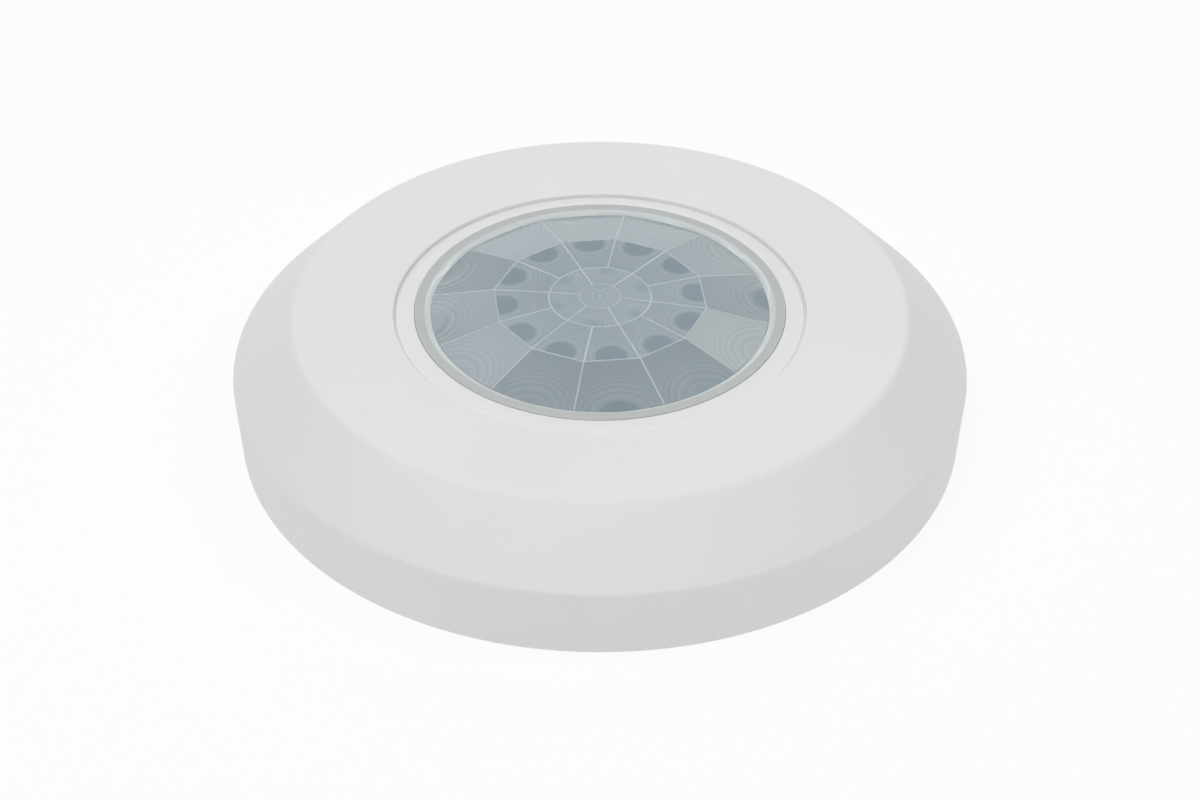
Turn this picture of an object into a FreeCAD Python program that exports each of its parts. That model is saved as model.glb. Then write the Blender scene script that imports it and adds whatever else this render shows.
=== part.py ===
import FreeCAD, Part
import math
import os

# Low-profile 360 degree ceiling motion sensor, in millimetres.
# Origin: centre of the ceiling-side face. +Z points out of the lens, away from the ceiling.

Vector = FreeCAD.Vector
Z_AXIS = Vector(0, 0, 1)

# ---- driving dimensions -------------------------------------------------------------------
# Cover
rim_radius = 44.5            # widest point of the wall
wall_draft = 0.7             # how much narrower the wall is at the ceiling
rim_height = 9.05            # height of the widest point
shoulder_width = 7.15        # conical shoulder, from the widest point to the flat face
face_height = 17.0           # flat face above the ceiling
cover_wall = 2.0
soft_edge = 1.0              # rounding of the two outer edges
foot_edge = 0.45             # rounding at the ceiling
inner_edge = 0.6             # rounding of the inside corners

# Lens ring and lens
opening_radius = 22.35       # opening of the lens ring
ring_width = 2.25            # visible face of the lens ring
ring_gap = 0.22              # gap all round the lens ring, seen as a fine circle
ring_drop = 0.45             # lens ring's outer edge below the face
ring_crown = 0.5             # lens ring's inner edge above its outer edge
ring_seat = 0.3              # depth of the fine groove beside the ring
ring_lip = 1.0               # thickness of the ring's outer edge
ring_flange = 2.2            # how far its flange reaches under the cover
ring_flange_height = 1.0
bead_width = 1.1             # raised rim of the lens
bead_rise = 0.6              # rim of the lens above the ring's outer edge
band_width = 0.8             # plain sloping band inside the raised rim
band_drop = 0.3              # how far that band falls towards the facets
field_rise = 0.15            # edge of the facets above the ring's outer edge
lens_wall = 0.6
lens_flange = 1.15           # lens flange held under the lens ring
facet_count = 12
inner_facet_count = 6
facet_turn = -8.5            # angle of the first seam, degrees
outer_polygon = 12.9         # corner radius of the ring between outer and middle facets
middle_polygon = 6.15        # corner radius between middle and inner facets
disc_radius = 2.5            # centre disc
outer_rise = 1.7             # height gained over the outer facets
middle_rise = 0.3
inner_rise = 0.13
lens_headroom = 5.0          # cutting height kept above the face
clamp_height = 0.8
keeper_height = 0.95
keeper_reach = 1.2           # keeper outside the ring's flange
keeper_hold = 0.8            # keeper inside the flange's inner edge
ear_radius = 2.9
ear_reach = 1.5              # ear centre outside the keeper's edge
keeper_screw_core = 0.85
keeper_screw_head = 1.8
keeper_screw_head_height = 1.1

# Mounting base
base_gap = 0.3               # base rim to cover wall
base_rim_wall = 1.8
base_rim_height = 5.4
floor_recess = 0.8           # back of the floor above the ceiling
floor_thickness = 1.6
rib_height = 0.9
rib_width = 1.2
back_rib_gap = 0.2           # ribs on the back stay this far off the ceiling
ejector_mark = 2.2
ejector_depth = 0.12
knockout_outer = 3.6
knockout_inner = 3.0
knockout_reach = 6.0         # knock-out middle inside the base's rim
slot_spacing = 60.3          # ceiling screw slots, centre to centre
slot_width = 4.4
slot_length = 8.4
slot_pad = 2.0               # raised land round a slot
wire_hole = 6.0              # radius of the wire entry
grommet_bore = 3.25
grommet_flange = 1.3
snap_bead = 0.25             # cover's click bead
snap_angle = 12.0
snap_height = 3.4
key_width = 3.0
key_gap = 0.15
pry_width = 8.0
pry_height = 1.5

# Circuit board
board_bottom = 4.4
board_thickness = 1.6
board_gap = 4.7              # board edge to base rim
board_side = 24.5            # flat sides leave room for the ceiling screws
board_front = 25.5           # straight front edge, at the terminals
boss_radius = 3.2
screw_core = 1.05
screw_gap = 0.1              # radial, screw in its hole
screw_head = 2.3
screw_head_height = 1.5

# Terminal block
terminal_count = 6
terminal_pitch = 3.5
terminal_depth = 7.0
terminal_height = 6.4
terminal_bore = 1.25         # half width of a wire mouth
clamp_wall = 0.35

# Detector
can_radius = 4.1
can_flange = 4.6
can_height = 4.2
can_standoff = 1.0
boot_wall = 2.0
boot_height = 3.4
fit_gap = 0.08               # small running gap between fitted pieces
window_width = 5.0
window_depth = 4.0
lead_radius = 0.23
lead_circle = 2.54

# Tamper switch
tamper_angle = 105.2
tamper_clear = 0.65          # plunger head to the ring keeper
tamper_body = 6.0
tamper_height = 3.4
plunger_radius = 1.1
plunger_height = 4.4         # plunger above its switch
plunger_cap = 1.9
plunger_cap_height = 0.8
plunger_travel = 0.8
spring_wire = 0.45
spring_turns = 4
post_gap = 0.1               # cover post above the released plunger

# Option switch
option_x = 9.5
option_y = 27.0
option_count = 3
option_pitch = 2.54
option_depth = 6.2
option_height = 2.8
slider_width = 1.2
slider_depth = 1.3
slider_travel = 1.5
slider_rise = 0.7

# Parts soldered to the board: (width, depth, height above the board) and (x, y) of the middle
controller_size, controller_spot = (8.7, 3.9, 1.7), (13.2, 8.0)
controller_leads, controller_pitch = 7, 1.27
relay_size, relay_spot = (8.8, 6.4, 3.4), (-14.5, 12.5)
relay_leads, relay_pitch = 3, 2.54
regulator_size, regulator_spot = (4.5, 2.5, 1.6), (19.0, -2.5)
regulator_leads, regulator_pitch = 3, 1.5
diode_size, diode_spot = (4.4, 3.6, 2.3), (-12.5, -13.2)
resistor_size = (2.0, 1.25, 0.55)
chip_capacitor_size = (2.0, 1.25, 0.95)
indicator_size, indicator_spot = (3.2, 2.6, 0.9), (0.0, -9.4)
indicator_dome, indicator_dome_height = 1.05, 1.9
# aluminium capacitors: radius, height, x, y
capacitor_cans = [(3.15, 5.4, 17.8, -19.2), (2.5, 5.2, -17.6, -19.4)]
lead_width = 0.42
solder_gap = 0.02            # parts stand this far off the board

# ---- worked out from them -----------------------------------------------------------------
edge_radius = rim_radius - wall_draft
shoulder_radius = rim_radius - shoulder_width
ring_radius = opening_radius + ring_width
cover_inner = edge_radius - cover_wall
face_under = face_height - cover_wall
hole_radius = ring_radius + ring_gap
ring_top = face_height - ring_drop
flange_top = face_under - fit_gap
flange_bottom = flange_top - ring_flange_height
flange_radius = ring_radius + ring_flange
lens_flange_top = ring_top - ring_lip
lens_flange_bottom = lens_flange_top - lens_wall
lens_radius = opening_radius - fit_gap
lens_flange_radius = lens_radius + lens_flange
field_radius = lens_radius - bead_width - band_width
bead_top = ring_top + bead_rise
field_height = ring_top + field_rise
keeper_top = flange_bottom - fit_gap
keeper_bottom = keeper_top - keeper_height
keeper_outer = flange_radius + keeper_reach
keeper_inner = ring_radius - keeper_hold
ear_circle = keeper_outer + ear_reach
base_radius = cover_inner - base_gap
base_inner = base_radius - base_rim_wall
floor_top = floor_recess + floor_thickness
recess_radius = base_inner - 1.5
board_radius = base_inner - board_gap
board_top = board_bottom + board_thickness
wire_y = -(base_inner - wire_hole - grommet_flange - 0.9)
screw_spots = [(-(board_side - 4), -10), (board_side - 4, -10), (0, 28.5)]
ear_angles = [90, 210, 330]
terminal_width = terminal_count * terminal_pitch + 1.2
terminal_y = -(board_front - terminal_depth / 2)
tamper_reach = keeper_outer + tamper_clear + plunger_cap
tamper_x = tamper_reach * math.cos(math.radians(tamper_angle))
tamper_y = tamper_reach * math.sin(math.radians(tamper_angle))


# ---- helpers ------------------------------------------------------------------------------
def disc(radius, low, high, x=0.0, y=0.0):
    """Upright cylinder between two heights."""
    return Part.makeCylinder(radius, high - low, Vector(x, y, low))


def ring(outer, inner, low, high, x=0.0, y=0.0):
    """Upright tube between two heights."""
    return disc(outer, low, high, x, y).cut(disc(inner, low - 1, high + 1, x, y))


def block(width, depth, low, high, x=0.0, y=0.0):
    """Upright box centred on x, y."""
    return Part.makeBox(width, depth, high - low, Vector(x - width / 2, y - depth / 2, low))


def soft_block(width, depth, low, high, x, y, round_radius):
    """Box with its four upright edges and its top edges rounded."""
    solid = block(width, depth, low, high, x, y)
    edges = [e for e in solid.Edges if e.BoundBox.ZMax > low + 1e-6]
    return solid.makeFillet(round_radius, edges)


def turned(points, angle=360.0, start=0.0):
    """Solid of revolution about Z. Each point is (radius, height, rounding)."""
    count = len(points)
    corners = []
    for index, (radius, height, rounding) in enumerate(points):
        here = Vector(radius, 0, height)
        before = Vector(points[index - 1][0], 0, points[index - 1][1])
        after = Vector(points[(index + 1) % count][0], 0, points[(index + 1) % count][1])
        if rounding <= 0:
            corners.append((here, None, here))
            continue
        back = (before - here).normalize()
        ahead = (after - here).normalize()
        half = back.getAngle(ahead) / 2
        reach = rounding / math.tan(half)
        middle = (back + ahead).normalize()
        centre = here + middle * (rounding / math.sin(half))
        corners.append((here + back * reach, centre - middle * rounding, here + ahead * reach))
    edges = []
    for index, (first, middle, last) in enumerate(corners):
        if middle is not None:
            edges.append(Part.Arc(first, middle, last).toShape())
        following = corners[(index + 1) % count][0]
        if (following - last).Length > 1e-7:
            edges.append(Part.LineSegment(last, following).toShape())
    face = Part.Face(Part.Wire(edges))
    face.rotate(Vector(0, 0, 0), Z_AXIS, start)
    return face.revolve(Vector(0, 0, 0), Z_AXIS, angle)


def polar(radius, angle):
    """x, y of a point on a circle; angle in degrees from +X."""
    return radius * math.cos(math.radians(angle)), radius * math.sin(math.radians(angle))


def slot(width, length, low, high, x, y):
    """Round-ended slot solid, long in X."""
    reach = (length - width) / 2
    solid = block(length - width, width, low, high, x, y)
    return solid.fuse([disc(width / 2, low, high, x - reach, y), disc(width / 2, low, high, x + reach, y)])


def polygon_wire(sides, corner_radius, height):
    """Closed regular polygon with its first corner on the first seam."""
    points = []
    for index in range(sides + 1):
        x, y = polar(corner_radius, facet_turn + 360.0 * index / sides)
        points.append(Vector(x, y, height))
    return Part.makePolygon(points)


def frustum(sides, low_radius, low, high_radius, high):
    """Flat-sided frustum between two polygons."""
    wires = [polygon_wire(sides, low_radius, low), polygon_wire(sides, high_radius, high)]
    return Part.makeLoft(wires, True, True)


def save(name, shape):
    """Write one node."""
    shape = shape.removeSplitter()
    print(name, len(shape.Solids), "solid", round(shape.Volume, 1), "mm3", shape.isValid())
    shape.exportStep(os.path.join("parts", name + ".step"))


# ---- cover --------------------------------------------------------------------------------
def shoulder_offset():
    """Inside of the conical shoulder: where its offset meets the wall and the face."""
    run = rim_radius - shoulder_radius
    rise = face_height - rim_height
    length = math.hypot(run, rise)
    shift_r = -cover_wall * rise / length
    shift_z = -cover_wall * run / length
    slope = rise / run
    low = rim_height + shift_z + (rim_radius + shift_r - cover_inner) * slope
    top = shoulder_radius + shift_r + (face_height + shift_z - face_under) / slope
    return low, top


def front_cover():
    shoulder_low, shoulder_top = shoulder_offset()
    shell = turned([
        (edge_radius, 0, foot_edge),
        (rim_radius, rim_height, soft_edge),
        (shoulder_radius, face_height, soft_edge),
        (hole_radius, face_height, 0.2),
        (hole_radius, face_under, 0),
        (shoulder_top, face_under, inner_edge),
        (cover_inner, shoulder_low, inner_edge),
        (cover_inner, 0, 0.3),
    ])
    extras = []
    # click beads inside the wall
    for angle in (0, 120, 240):
        bead = turned([
            (cover_inner + 0.3, snap_height - 0.6, 0),
            (cover_inner + 0.3, snap_height + 0.6, 0),
            (cover_inner, snap_height + 0.6, 0),
            (cover_inner - snap_bead, snap_height + 0.15, 0),
            (cover_inner - snap_bead, snap_height - 0.15, 0),
            (cover_inner, snap_height - 0.6, 0),
        ], snap_angle, angle + 60 - snap_angle / 2)
        extras.append(bead)
    # ribs that stiffen the wall and stop on the base rim
    for index in range(12):
        angle = 15 + 30 * index
        rib = block(cover_wall + 1.6, 1.0, base_rim_height + 0.4, shoulder_low + 0.8,
                    cover_inner - 0.8 + cover_wall / 2 - 0.3, 0)
        rib.rotate(Vector(0, 0, 0), Z_AXIS, angle)
        extras.append(rib)
    # key that sets the cover's turn
    key = block(base_rim_wall + 0.2, key_width, 0.6, base_rim_height,
                cover_inner - (base_rim_wall + 0.2) / 2 + 0.1, 0)
    key.rotate(Vector(0, 0, 0), Z_AXIS, 120)
    extras.append(key)
    # post over the tamper plunger
    extras.append(disc(plunger_cap + 0.3, plunger_top() + post_gap, face_under + 0.5, tamper_x, tamper_y))
    # bosses for the keeper screws
    for angle in ear_angles:
        x, y = polar(ear_circle, angle)
        extras.append(disc(ear_radius - 0.2, keeper_top + fit_gap, face_under + 0.5, x, y))
    shell = shell.fuse(extras)
    for angle in ear_angles:
        x, y = polar(ear_circle, angle)
        shell = shell.cut(disc(keeper_screw_core + screw_gap, keeper_top, face_under + 0.6, x, y))
    # removal notch at the back
    notch = block(pry_width, cover_wall * 4, -1, pry_height, 0, edge_radius)
    return shell.cut(notch)


# ---- lens group ---------------------------------------------------------------------------
def lens_ring():
    pocket = lens_flange_radius + fit_gap
    return turned([
        (opening_radius, ring_top + ring_crown, 0.15),
        (opening_radius, lens_flange_top, 0),
        (pocket, lens_flange_top, 0),
        (pocket, flange_bottom, 0),
        (flange_radius, flange_bottom, 0.2),
        (flange_radius, flange_top, 0.2),
        (hole_radius - fit_gap, flange_top, 0),
        (hole_radius - fit_gap, ring_top - ring_seat, 0),
        (ring_radius, ring_top - ring_seat, 0),
        (ring_radius, ring_top, 0.2),
    ])


def facet_cap(drop):
    """Faceted top of the lens, lowered by drop, as a solid down to the flange."""
    reach = field_radius - outer_polygon
    low_radius = field_radius / math.cos(math.pi / facet_count) + 2.0
    slope = outer_rise / reach
    low = field_height - drop - (low_radius - field_radius) * slope
    top = field_height - drop + outer_rise
    second = top + middle_rise
    third = second + inner_rise
    cap = frustum(facet_count, low_radius, low, outer_polygon, top)
    cap = cap.fuse([
        frustum(facet_count, outer_polygon, top, middle_polygon, second),
        frustum(inner_facet_count, middle_polygon * 0.97, second, disc_radius, third),
        Part.Face(polygon_wire(facet_count, low_radius, low)).extrude(Vector(0, 0, -6)),
    ])
    return cap


def fresnel_lens():
    wall_in = lens_radius - bead_width
    cap = facet_cap(0).common(disc(field_radius, lens_flange_bottom, face_height + lens_headroom))
    rim = turned([
        (field_radius, lens_flange_bottom, 0),
        (lens_flange_radius, lens_flange_bottom, 0),
        (lens_flange_radius, lens_flange_top - fit_gap, 0),
        (lens_radius, lens_flange_top - fit_gap, 0),
        (lens_radius, bead_top, 0.35),
        (wall_in, bead_top, 0.2),
        (field_radius, bead_top - band_drop, 0),
    ])
    hollow = facet_cap(lens_wall).common(disc(field_radius, lens_flange_bottom - 1,
                                              face_height + lens_headroom))
    return rim.fuse(cap).cut(hollow)


def lens_clamp():
    outer = lens_flange_radius - fit_gap
    inner = field_radius + 0.3
    high = lens_flange_bottom - 0.02
    return turned([(inner, high - clamp_height, 0.15), (outer, high - clamp_height, 0.15),
                   (outer, high, 0), (inner, high, 0)])


def ring_keeper():
    plate = ring(keeper_outer, keeper_inner, keeper_bottom, keeper_top)
    for angle in ear_angles:
        x, y = polar(ear_circle, angle)
        plate = plate.fuse(disc(ear_radius, keeper_bottom, keeper_top, x, y))
    for angle in ear_angles:
        x, y = polar(ear_circle, angle)
        plate = plate.cut(disc(keeper_screw_core + screw_gap, keeper_bottom - 1, keeper_top + 1, x, y))
    return plate


def screw(core, head, head_height, seat, tip, x, y, up):
    """Pan-head screw with a cross recess. up is +1 when the head is above the seat."""
    shank = turned([(0, 0, 0), (core, 0, 0), (core, -abs(seat - tip), 0.3), (0, -abs(seat - tip), 0)])
    dome = turned([(0, 0, 0), (head, 0, 0), (head, head_height, head_height * 0.55), (0, head_height, 0)])
    recess = head * 0.28
    cross = block(head * 1.1, recess, head_height * 0.45, head_height + 1)
    cross = cross.fuse(block(recess, head * 1.1, head_height * 0.45, head_height + 1))
    solid = dome.cut(cross).fuse(shank)
    if up < 0:
        solid.rotate(Vector(0, 0, 0), Vector(1, 0, 0), 180)
    solid.translate(Vector(x, y, seat))
    return solid


def keeper_screws():
    solids = []
    for angle in ear_angles:
        x, y = polar(ear_circle, angle)
        solids.append(screw(keeper_screw_core, keeper_screw_head, keeper_screw_head_height,
                            keeper_bottom, face_under, x, y, -1))
    return Part.makeCompound(solids)


# ---- base ---------------------------------------------------------------------------------
def mounting_base():
    base = turned([
        (0, floor_recess, 0),
        (recess_radius, floor_recess, 0.2),
        (recess_radius + 0.5, 0, 0.15),
        (base_radius, 0, 0.3),
        (base_radius, snap_height - 0.7, 0),
        (base_radius - snap_bead, snap_height - 0.3, 0),
        (base_radius - snap_bead, snap_height + 0.3, 0),
        (base_radius, snap_height + 0.7, 0),
        (base_radius, base_rim_height, 0.4),
        (base_inner, base_rim_height, 0.3),
        (base_inner, floor_top, 0.5),
        (0, floor_top, 0),
    ])
    adds = []
    for index in range(6):
        rib = block(base_inner - boss_radius, rib_width, floor_top - 0.3, floor_top + rib_height,
                    (base_inner + boss_radius) / 2, 0)
        rib.rotate(Vector(0, 0, 0), Z_AXIS, 30 + 60 * index)
        adds.append(rib)
        back_rib = block(recess_radius - boss_radius * 2, rib_width, back_rib_gap, floor_recess + 0.3,
                         recess_radius / 2 + boss_radius, 0)
        back_rib.rotate(Vector(0, 0, 0), Z_AXIS, 30 + 60 * index)
        adds.append(back_rib)
    adds.append(ring(boss_radius + 2.0, boss_radius + 0.8, floor_top - 0.3, floor_top + rib_height))
    adds.append(ring(boss_radius * 2 + rib_width, boss_radius * 2, back_rib_gap, floor_recess + 0.3))
    for x, y in screw_spots:
        adds.append(disc(boss_radius, floor_top - 0.3, board_bottom, x, y))
    for side in (-1, 1):
        adds.append(slot(slot_width + 2 * slot_pad, slot_length + 2 * slot_pad, floor_top - 0.3,
                         floor_top + rib_height, side * slot_spacing / 2, 0))
    adds.append(ring(wire_hole + grommet_flange + 0.6, wire_hole + grommet_flange + 0.1 - 1.2,
                     floor_recess, floor_top, 0, wire_y))
    base = base.fuse(adds)
    cuts = []
    for x, y in screw_spots:
        cuts.append(disc(screw_core + screw_gap, floor_recess + 0.6, board_bottom + 1, x, y))
    for side in (-1, 1):
        cuts.append(slot(slot_width, slot_length, -1, board_bottom + 2, side * slot_spacing / 2, 0))
    cuts.append(disc(wire_hole, -1, floor_top + 3, 0, wire_y))
    cuts.append(disc(wire_hole + grommet_flange + 0.2, floor_top, floor_top + 3, 0, wire_y))
    cuts.append(disc(wire_hole + grommet_flange + 0.2, -1, floor_recess, 0, wire_y))
    # ejector marks on the back
    for index in range(6):
        x, y = polar(recess_radius * 0.5, 60 * index)
        cuts.append(disc(ejector_mark, -1, floor_recess + ejector_depth, x, y))
    # knock-out marks for other cable positions
    for angle in (235, 305):
        x, y = polar(base_inner - knockout_reach, angle)
        cuts.append(ring(knockout_outer, knockout_inner, floor_recess - 0.1,
                         floor_recess + floor_thickness * 0.6, x, y))
    # keyway for the cover
    key = block(base_rim_wall + 2, key_width + 2 * key_gap, -1, base_rim_height + 1, base_radius, 0)
    key.rotate(Vector(0, 0, 0), Z_AXIS, 120)
    cuts.append(key)
    return base.cut(cuts)


def wire_grommet():
    flange = wire_hole + grommet_flange
    neck = wire_hole - fit_gap
    body = turned([
        (grommet_bore, 0.1, 0.3),
        (flange, 0.1, 0.3),
        (flange, floor_recess - 0.02, 0),
        (neck, floor_recess - 0.02, 0),
        (neck, floor_top + 0.02, 0),
        (flange, floor_top + 0.02, 0),
        (flange, floor_top + 0.9, 0.3),
        (grommet_bore, floor_top + 0.9, 0.3),
    ])
    body.translate(Vector(0, wire_y, 0))
    return body


# ---- board and what it carries ------------------------------------------------------------
def lead_spots():
    return [polar(lead_circle, angle) for angle in (45, 165, 285)]


def terminal_x(index):
    return (index - (terminal_count - 1) / 2) * terminal_pitch


def circuit_board():
    board = disc(board_radius, board_bottom, board_top)
    keep = Part.makeBox(2 * board_side, board_radius + board_front, board_thickness,
                        Vector(-board_side, -board_front, board_bottom))
    board = board.common(keep)
    shoulders = [e for e in board.Edges if e.BoundBox.ZLength > board_thickness * 0.9
                 and e.BoundBox.YMin > 0]
    board = board.makeFillet(1.0, shoulders)
    cuts = [disc(screw_core + 0.35, 0, face_height, x, y) for x, y in screw_spots]
    cuts += [disc(lead_radius + 0.12, 0, face_height, x, y) for x, y in lead_spots()]
    cuts += [disc(0.5 + fit_gap, 0, face_height, terminal_x(i), terminal_y + 1.5)
             for i in range(terminal_count)]
    return board.cut(cuts)


def board_screws():
    solids = [screw(screw_core, screw_head, screw_head_height, board_top, floor_recess + 0.8, x, y, 1)
              for x, y in screw_spots]
    return Part.makeCompound(solids)


def detector_can():
    low = board_top + can_standoff
    can = turned([
        (0, low, 0), (can_flange, low, 0), (can_flange, low + 0.45, 0.15), (can_radius, low + 0.45, 0),
        (can_radius, low + can_height, 0.5), (0, low + can_height, 0),
    ])
    return can.cut(block(window_width, window_depth, low + can_height - 0.35, low + can_height + 1))


def detector_window():
    top = board_top + can_standoff + can_height
    return block(window_width - fit_gap, window_depth - fit_gap, top - 0.35, top - 0.05)


def detector_leads():
    return Part.makeCompound([disc(lead_radius, board_bottom - 1.0, board_top + can_standoff, x, y)
                              for x, y in lead_spots()])


def detector_boot():
    inner = can_flange + fit_gap
    return turned([
        (inner, board_top + 0.02, 0), (inner + boot_wall, board_top + 0.02, 0),
        (inner + boot_wall, board_top + boot_height * 0.6, 0.4),
        (inner + boot_wall * 0.6, board_top + boot_height, 0.4), (inner, board_top + boot_height, 0.3),
    ])


def terminal_block():
    low = board_top + 0.02
    body = block(terminal_width, terminal_depth, low, low + terminal_height, 0, terminal_y)
    body = body.makeChamfer(0.8, [e for e in body.Edges
                                  if e.BoundBox.ZMin > low + terminal_height - 0.01
                                  and e.BoundBox.YMax < terminal_y - 0.1])
    cuts = []
    front = terminal_y - terminal_depth / 2
    for index in range(terminal_count):
        x = terminal_x(index)
        cuts.append(Part.makeBox(2 * terminal_bore, terminal_depth - 1.0, 2.6,
                                 Vector(x - terminal_bore, front - 0.1, low + 0.9)))
        cuts.append(disc(terminal_bore + 0.1, low + 3.4, low + terminal_height + 1, x, terminal_y))
        cuts.append(disc(0.6, low - 1, low + 1.0, x, terminal_y + 1.5))
    return body.cut(cuts)


def terminal_clamps():
    solids = []
    low = board_top + 1.0
    half = terminal_bore - fit_gap
    for index in range(terminal_count):
        outer = block(2 * half, 3.4, low, low + 2.4, terminal_x(index), terminal_y)
        inner = block(2 * (half - clamp_wall), 4.0, low + clamp_wall, low + 2.4 - clamp_wall,
                      terminal_x(index), terminal_y)
        hole = disc(0.95, low + 1.5, low + 3, terminal_x(index), terminal_y)
        solids.append(outer.cut([inner, hole]))
    return Part.makeCompound(solids)


def terminal_screws():
    solids = []
    low = board_top + 0.02
    for index in range(terminal_count):
        x = terminal_x(index)
        head = disc(terminal_bore, low + 3.9, low + 5.6, x, terminal_y)
        shank = disc(0.75, low + 2.2, low + 3.95, x, terminal_y)
        cut = block(2 * terminal_bore + 1, 0.45, low + 5.0, low + 7, x, terminal_y)
        solids.append(head.fuse(shank).cut(cut))
    return Part.makeCompound(solids)


def terminal_pins():
    return Part.makeCompound([disc(0.5, board_bottom - 1.1, board_top + 0.95, terminal_x(i),
                                   terminal_y + 1.5) for i in range(terminal_count)])


def plunger_top():
    return board_top + tamper_height + plunger_height


def tamper_switch():
    body = soft_block(tamper_body, tamper_body, board_top + 0.02, board_top + tamper_height,
                      tamper_x, tamper_y, 0.3)
    legs = []
    for side in (-1, 1):
        for row in (-1, 1):
            legs.append(block(1.4, 0.7, board_top + 0.02, board_top + 0.3,
                              tamper_x + side * (tamper_body / 2 + 0.5), tamper_y + row * 2.2))
    body = body.fuse(legs)
    return body.cut(disc(plunger_radius + fit_gap, board_top + 1.0, board_top + 9, tamper_x, tamper_y))


def tamper_plunger():
    top = plunger_top()
    low = board_top + 1.0 + plunger_travel + 0.2
    body = turned([
        (0, low, 0), (plunger_radius, low, 0), (plunger_radius, top - plunger_cap_height, 0),
        (plunger_cap, top - plunger_cap_height, 0.15), (plunger_cap, top, 0.3), (0, top, 0),
    ])
    body.translate(Vector(tamper_x, tamper_y, 0))
    return body


def tamper_spring():
    low = board_top + tamper_height + spring_wire / 2 + 0.05
    high = plunger_top() - plunger_cap_height - spring_wire / 2 - 0.05
    coil_radius = plunger_radius + spring_wire / 2 + 0.2
    path = Part.makeHelix((high - low) / spring_turns, high - low, coil_radius)
    section = Part.Wire(Part.makeCircle(spring_wire / 2, Vector(coil_radius, 0, 0), Vector(0, 1, 0)))
    coil = Part.Wire(path.Edges).makePipeShell([section], True, True)
    coil.translate(Vector(tamper_x, tamper_y, low))
    return coil


def option_slot_x(index):
    return option_x + (index - (option_count - 1) / 2) * option_pitch


def option_switch():
    width = option_count * option_pitch + 1.4
    top = board_top + option_height
    body = block(width, option_depth, board_top + 0.02, top, option_x, option_y)
    legs = []
    for index in range(option_count):
        x = option_slot_x(index)
        for side in (-1, 1):
            legs.append(block(0.7, 1.2, board_top + 0.02, board_top + 0.3, x,
                              option_y + side * (option_depth / 2 + 0.5)))
        body = body.cut(block(slider_width + 2 * fit_gap, slider_depth + slider_travel + 2 * fit_gap,
                              top - 1.0, top + 1, x, option_y))
    return body.fuse(legs)


def option_slider(index):
    top = board_top + option_height
    y = option_y - slider_travel / 2
    x = option_slot_x(index)
    foot = block(slider_width, slider_depth, top - 0.9, top - 0.4, x, y)
    return foot.fuse(soft_block(slider_width, slider_depth, top - 0.45, top + slider_rise, x, y, 0.2))


def gull_chip(size, spot, leads, pitch):
    """Moulded chip with leads along its two long sides."""
    width, depth, height = size
    x, y = spot
    body = block(width, depth, board_top + 0.15, board_top + height, x, y)
    body = body.makeChamfer(0.2, [e for e in body.Edges if e.BoundBox.ZMin > board_top + height - 0.01])
    legs = []
    for index in range(leads):
        lead_x = x + (index - (leads - 1) / 2) * pitch
        for side in (-1, 1):
            edge = y + side * depth / 2
            legs.append(block(lead_width, 1.0, board_top + solder_gap, board_top + 0.2, lead_x,
                              edge + side * 0.6))
            legs.append(block(lead_width, 0.45, board_top + solder_gap, board_top + height * 0.5, lead_x,
                              edge + side * 0.15))
    return body.fuse(legs)


def capacitor_can(radius, height, x, y):
    """Surface-mount aluminium capacitor: square foot, grooved can."""
    foot = block(2 * radius + 0.4, 2 * radius + 0.4, board_top + solder_gap, board_top + 0.9, x, y)
    foot = foot.makeChamfer(0.9, [e for e in foot.Edges if e.BoundBox.ZLength > 0.5
                                  and e.BoundBox.XMin > x])
    can = turned([
        (0, board_top + 0.8, 0), (radius - 0.1, board_top + 0.8, 0), (radius - 0.1, board_top + 1.3, 0),
        (radius - 0.4, board_top + 1.6, 0), (radius - 0.1, board_top + 1.9, 0),
        (radius - 0.1, board_top + height, 0.4), (0, board_top + height, 0),
    ])
    can.translate(Vector(x, y, 0))
    return foot.fuse(can)


def chips(spots, size):
    """Small two-ended parts; a spot is (x, y, turned a quarter)."""
    width, depth, height = size
    solids = []
    for x, y, quarter in spots:
        across, along = (depth, width) if quarter else (width, depth)
        solids.append(block(across, along, board_top + solder_gap, board_top + height, x, y))
    return Part.makeCompound(solids)


def indicator():
    width, depth, height = indicator_size
    x, y = indicator_spot
    body = block(width, depth, board_top + solder_gap, board_top + height, x, y)
    top = board_top + indicator_dome_height
    dome = turned([(0, board_top + 0.8, 0), (indicator_dome, board_top + 0.8, 0),
                   (indicator_dome, top, 0.8), (0, top, 0)])
    dome.translate(Vector(x, y, 0))
    return body.fuse(dome)


# rows of chip resistors, then single chip capacitors: x, y, turned a quarter
resistor_spots = [(6.2 + 2.2 * i, -6.5, True) for i in range(5)]
resistor_spots += [(-9.5 - 2.2 * i, 3.0, True) for i in range(4)]
resistor_spots += [(-4.0 + 2.6 * i, 19.0, False) for i in range(4)]
chip_capacitor_spots = [(9.5, -13.2, False), (12.8, -13.2, False), (-6.5, -13.2, False), (9.0, 14.5, True),
                        (17.5, 14.5, True), (-7.5, 8.5, True), (7.8, 1.0, True), (-14.5, -3.0, False)]


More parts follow.
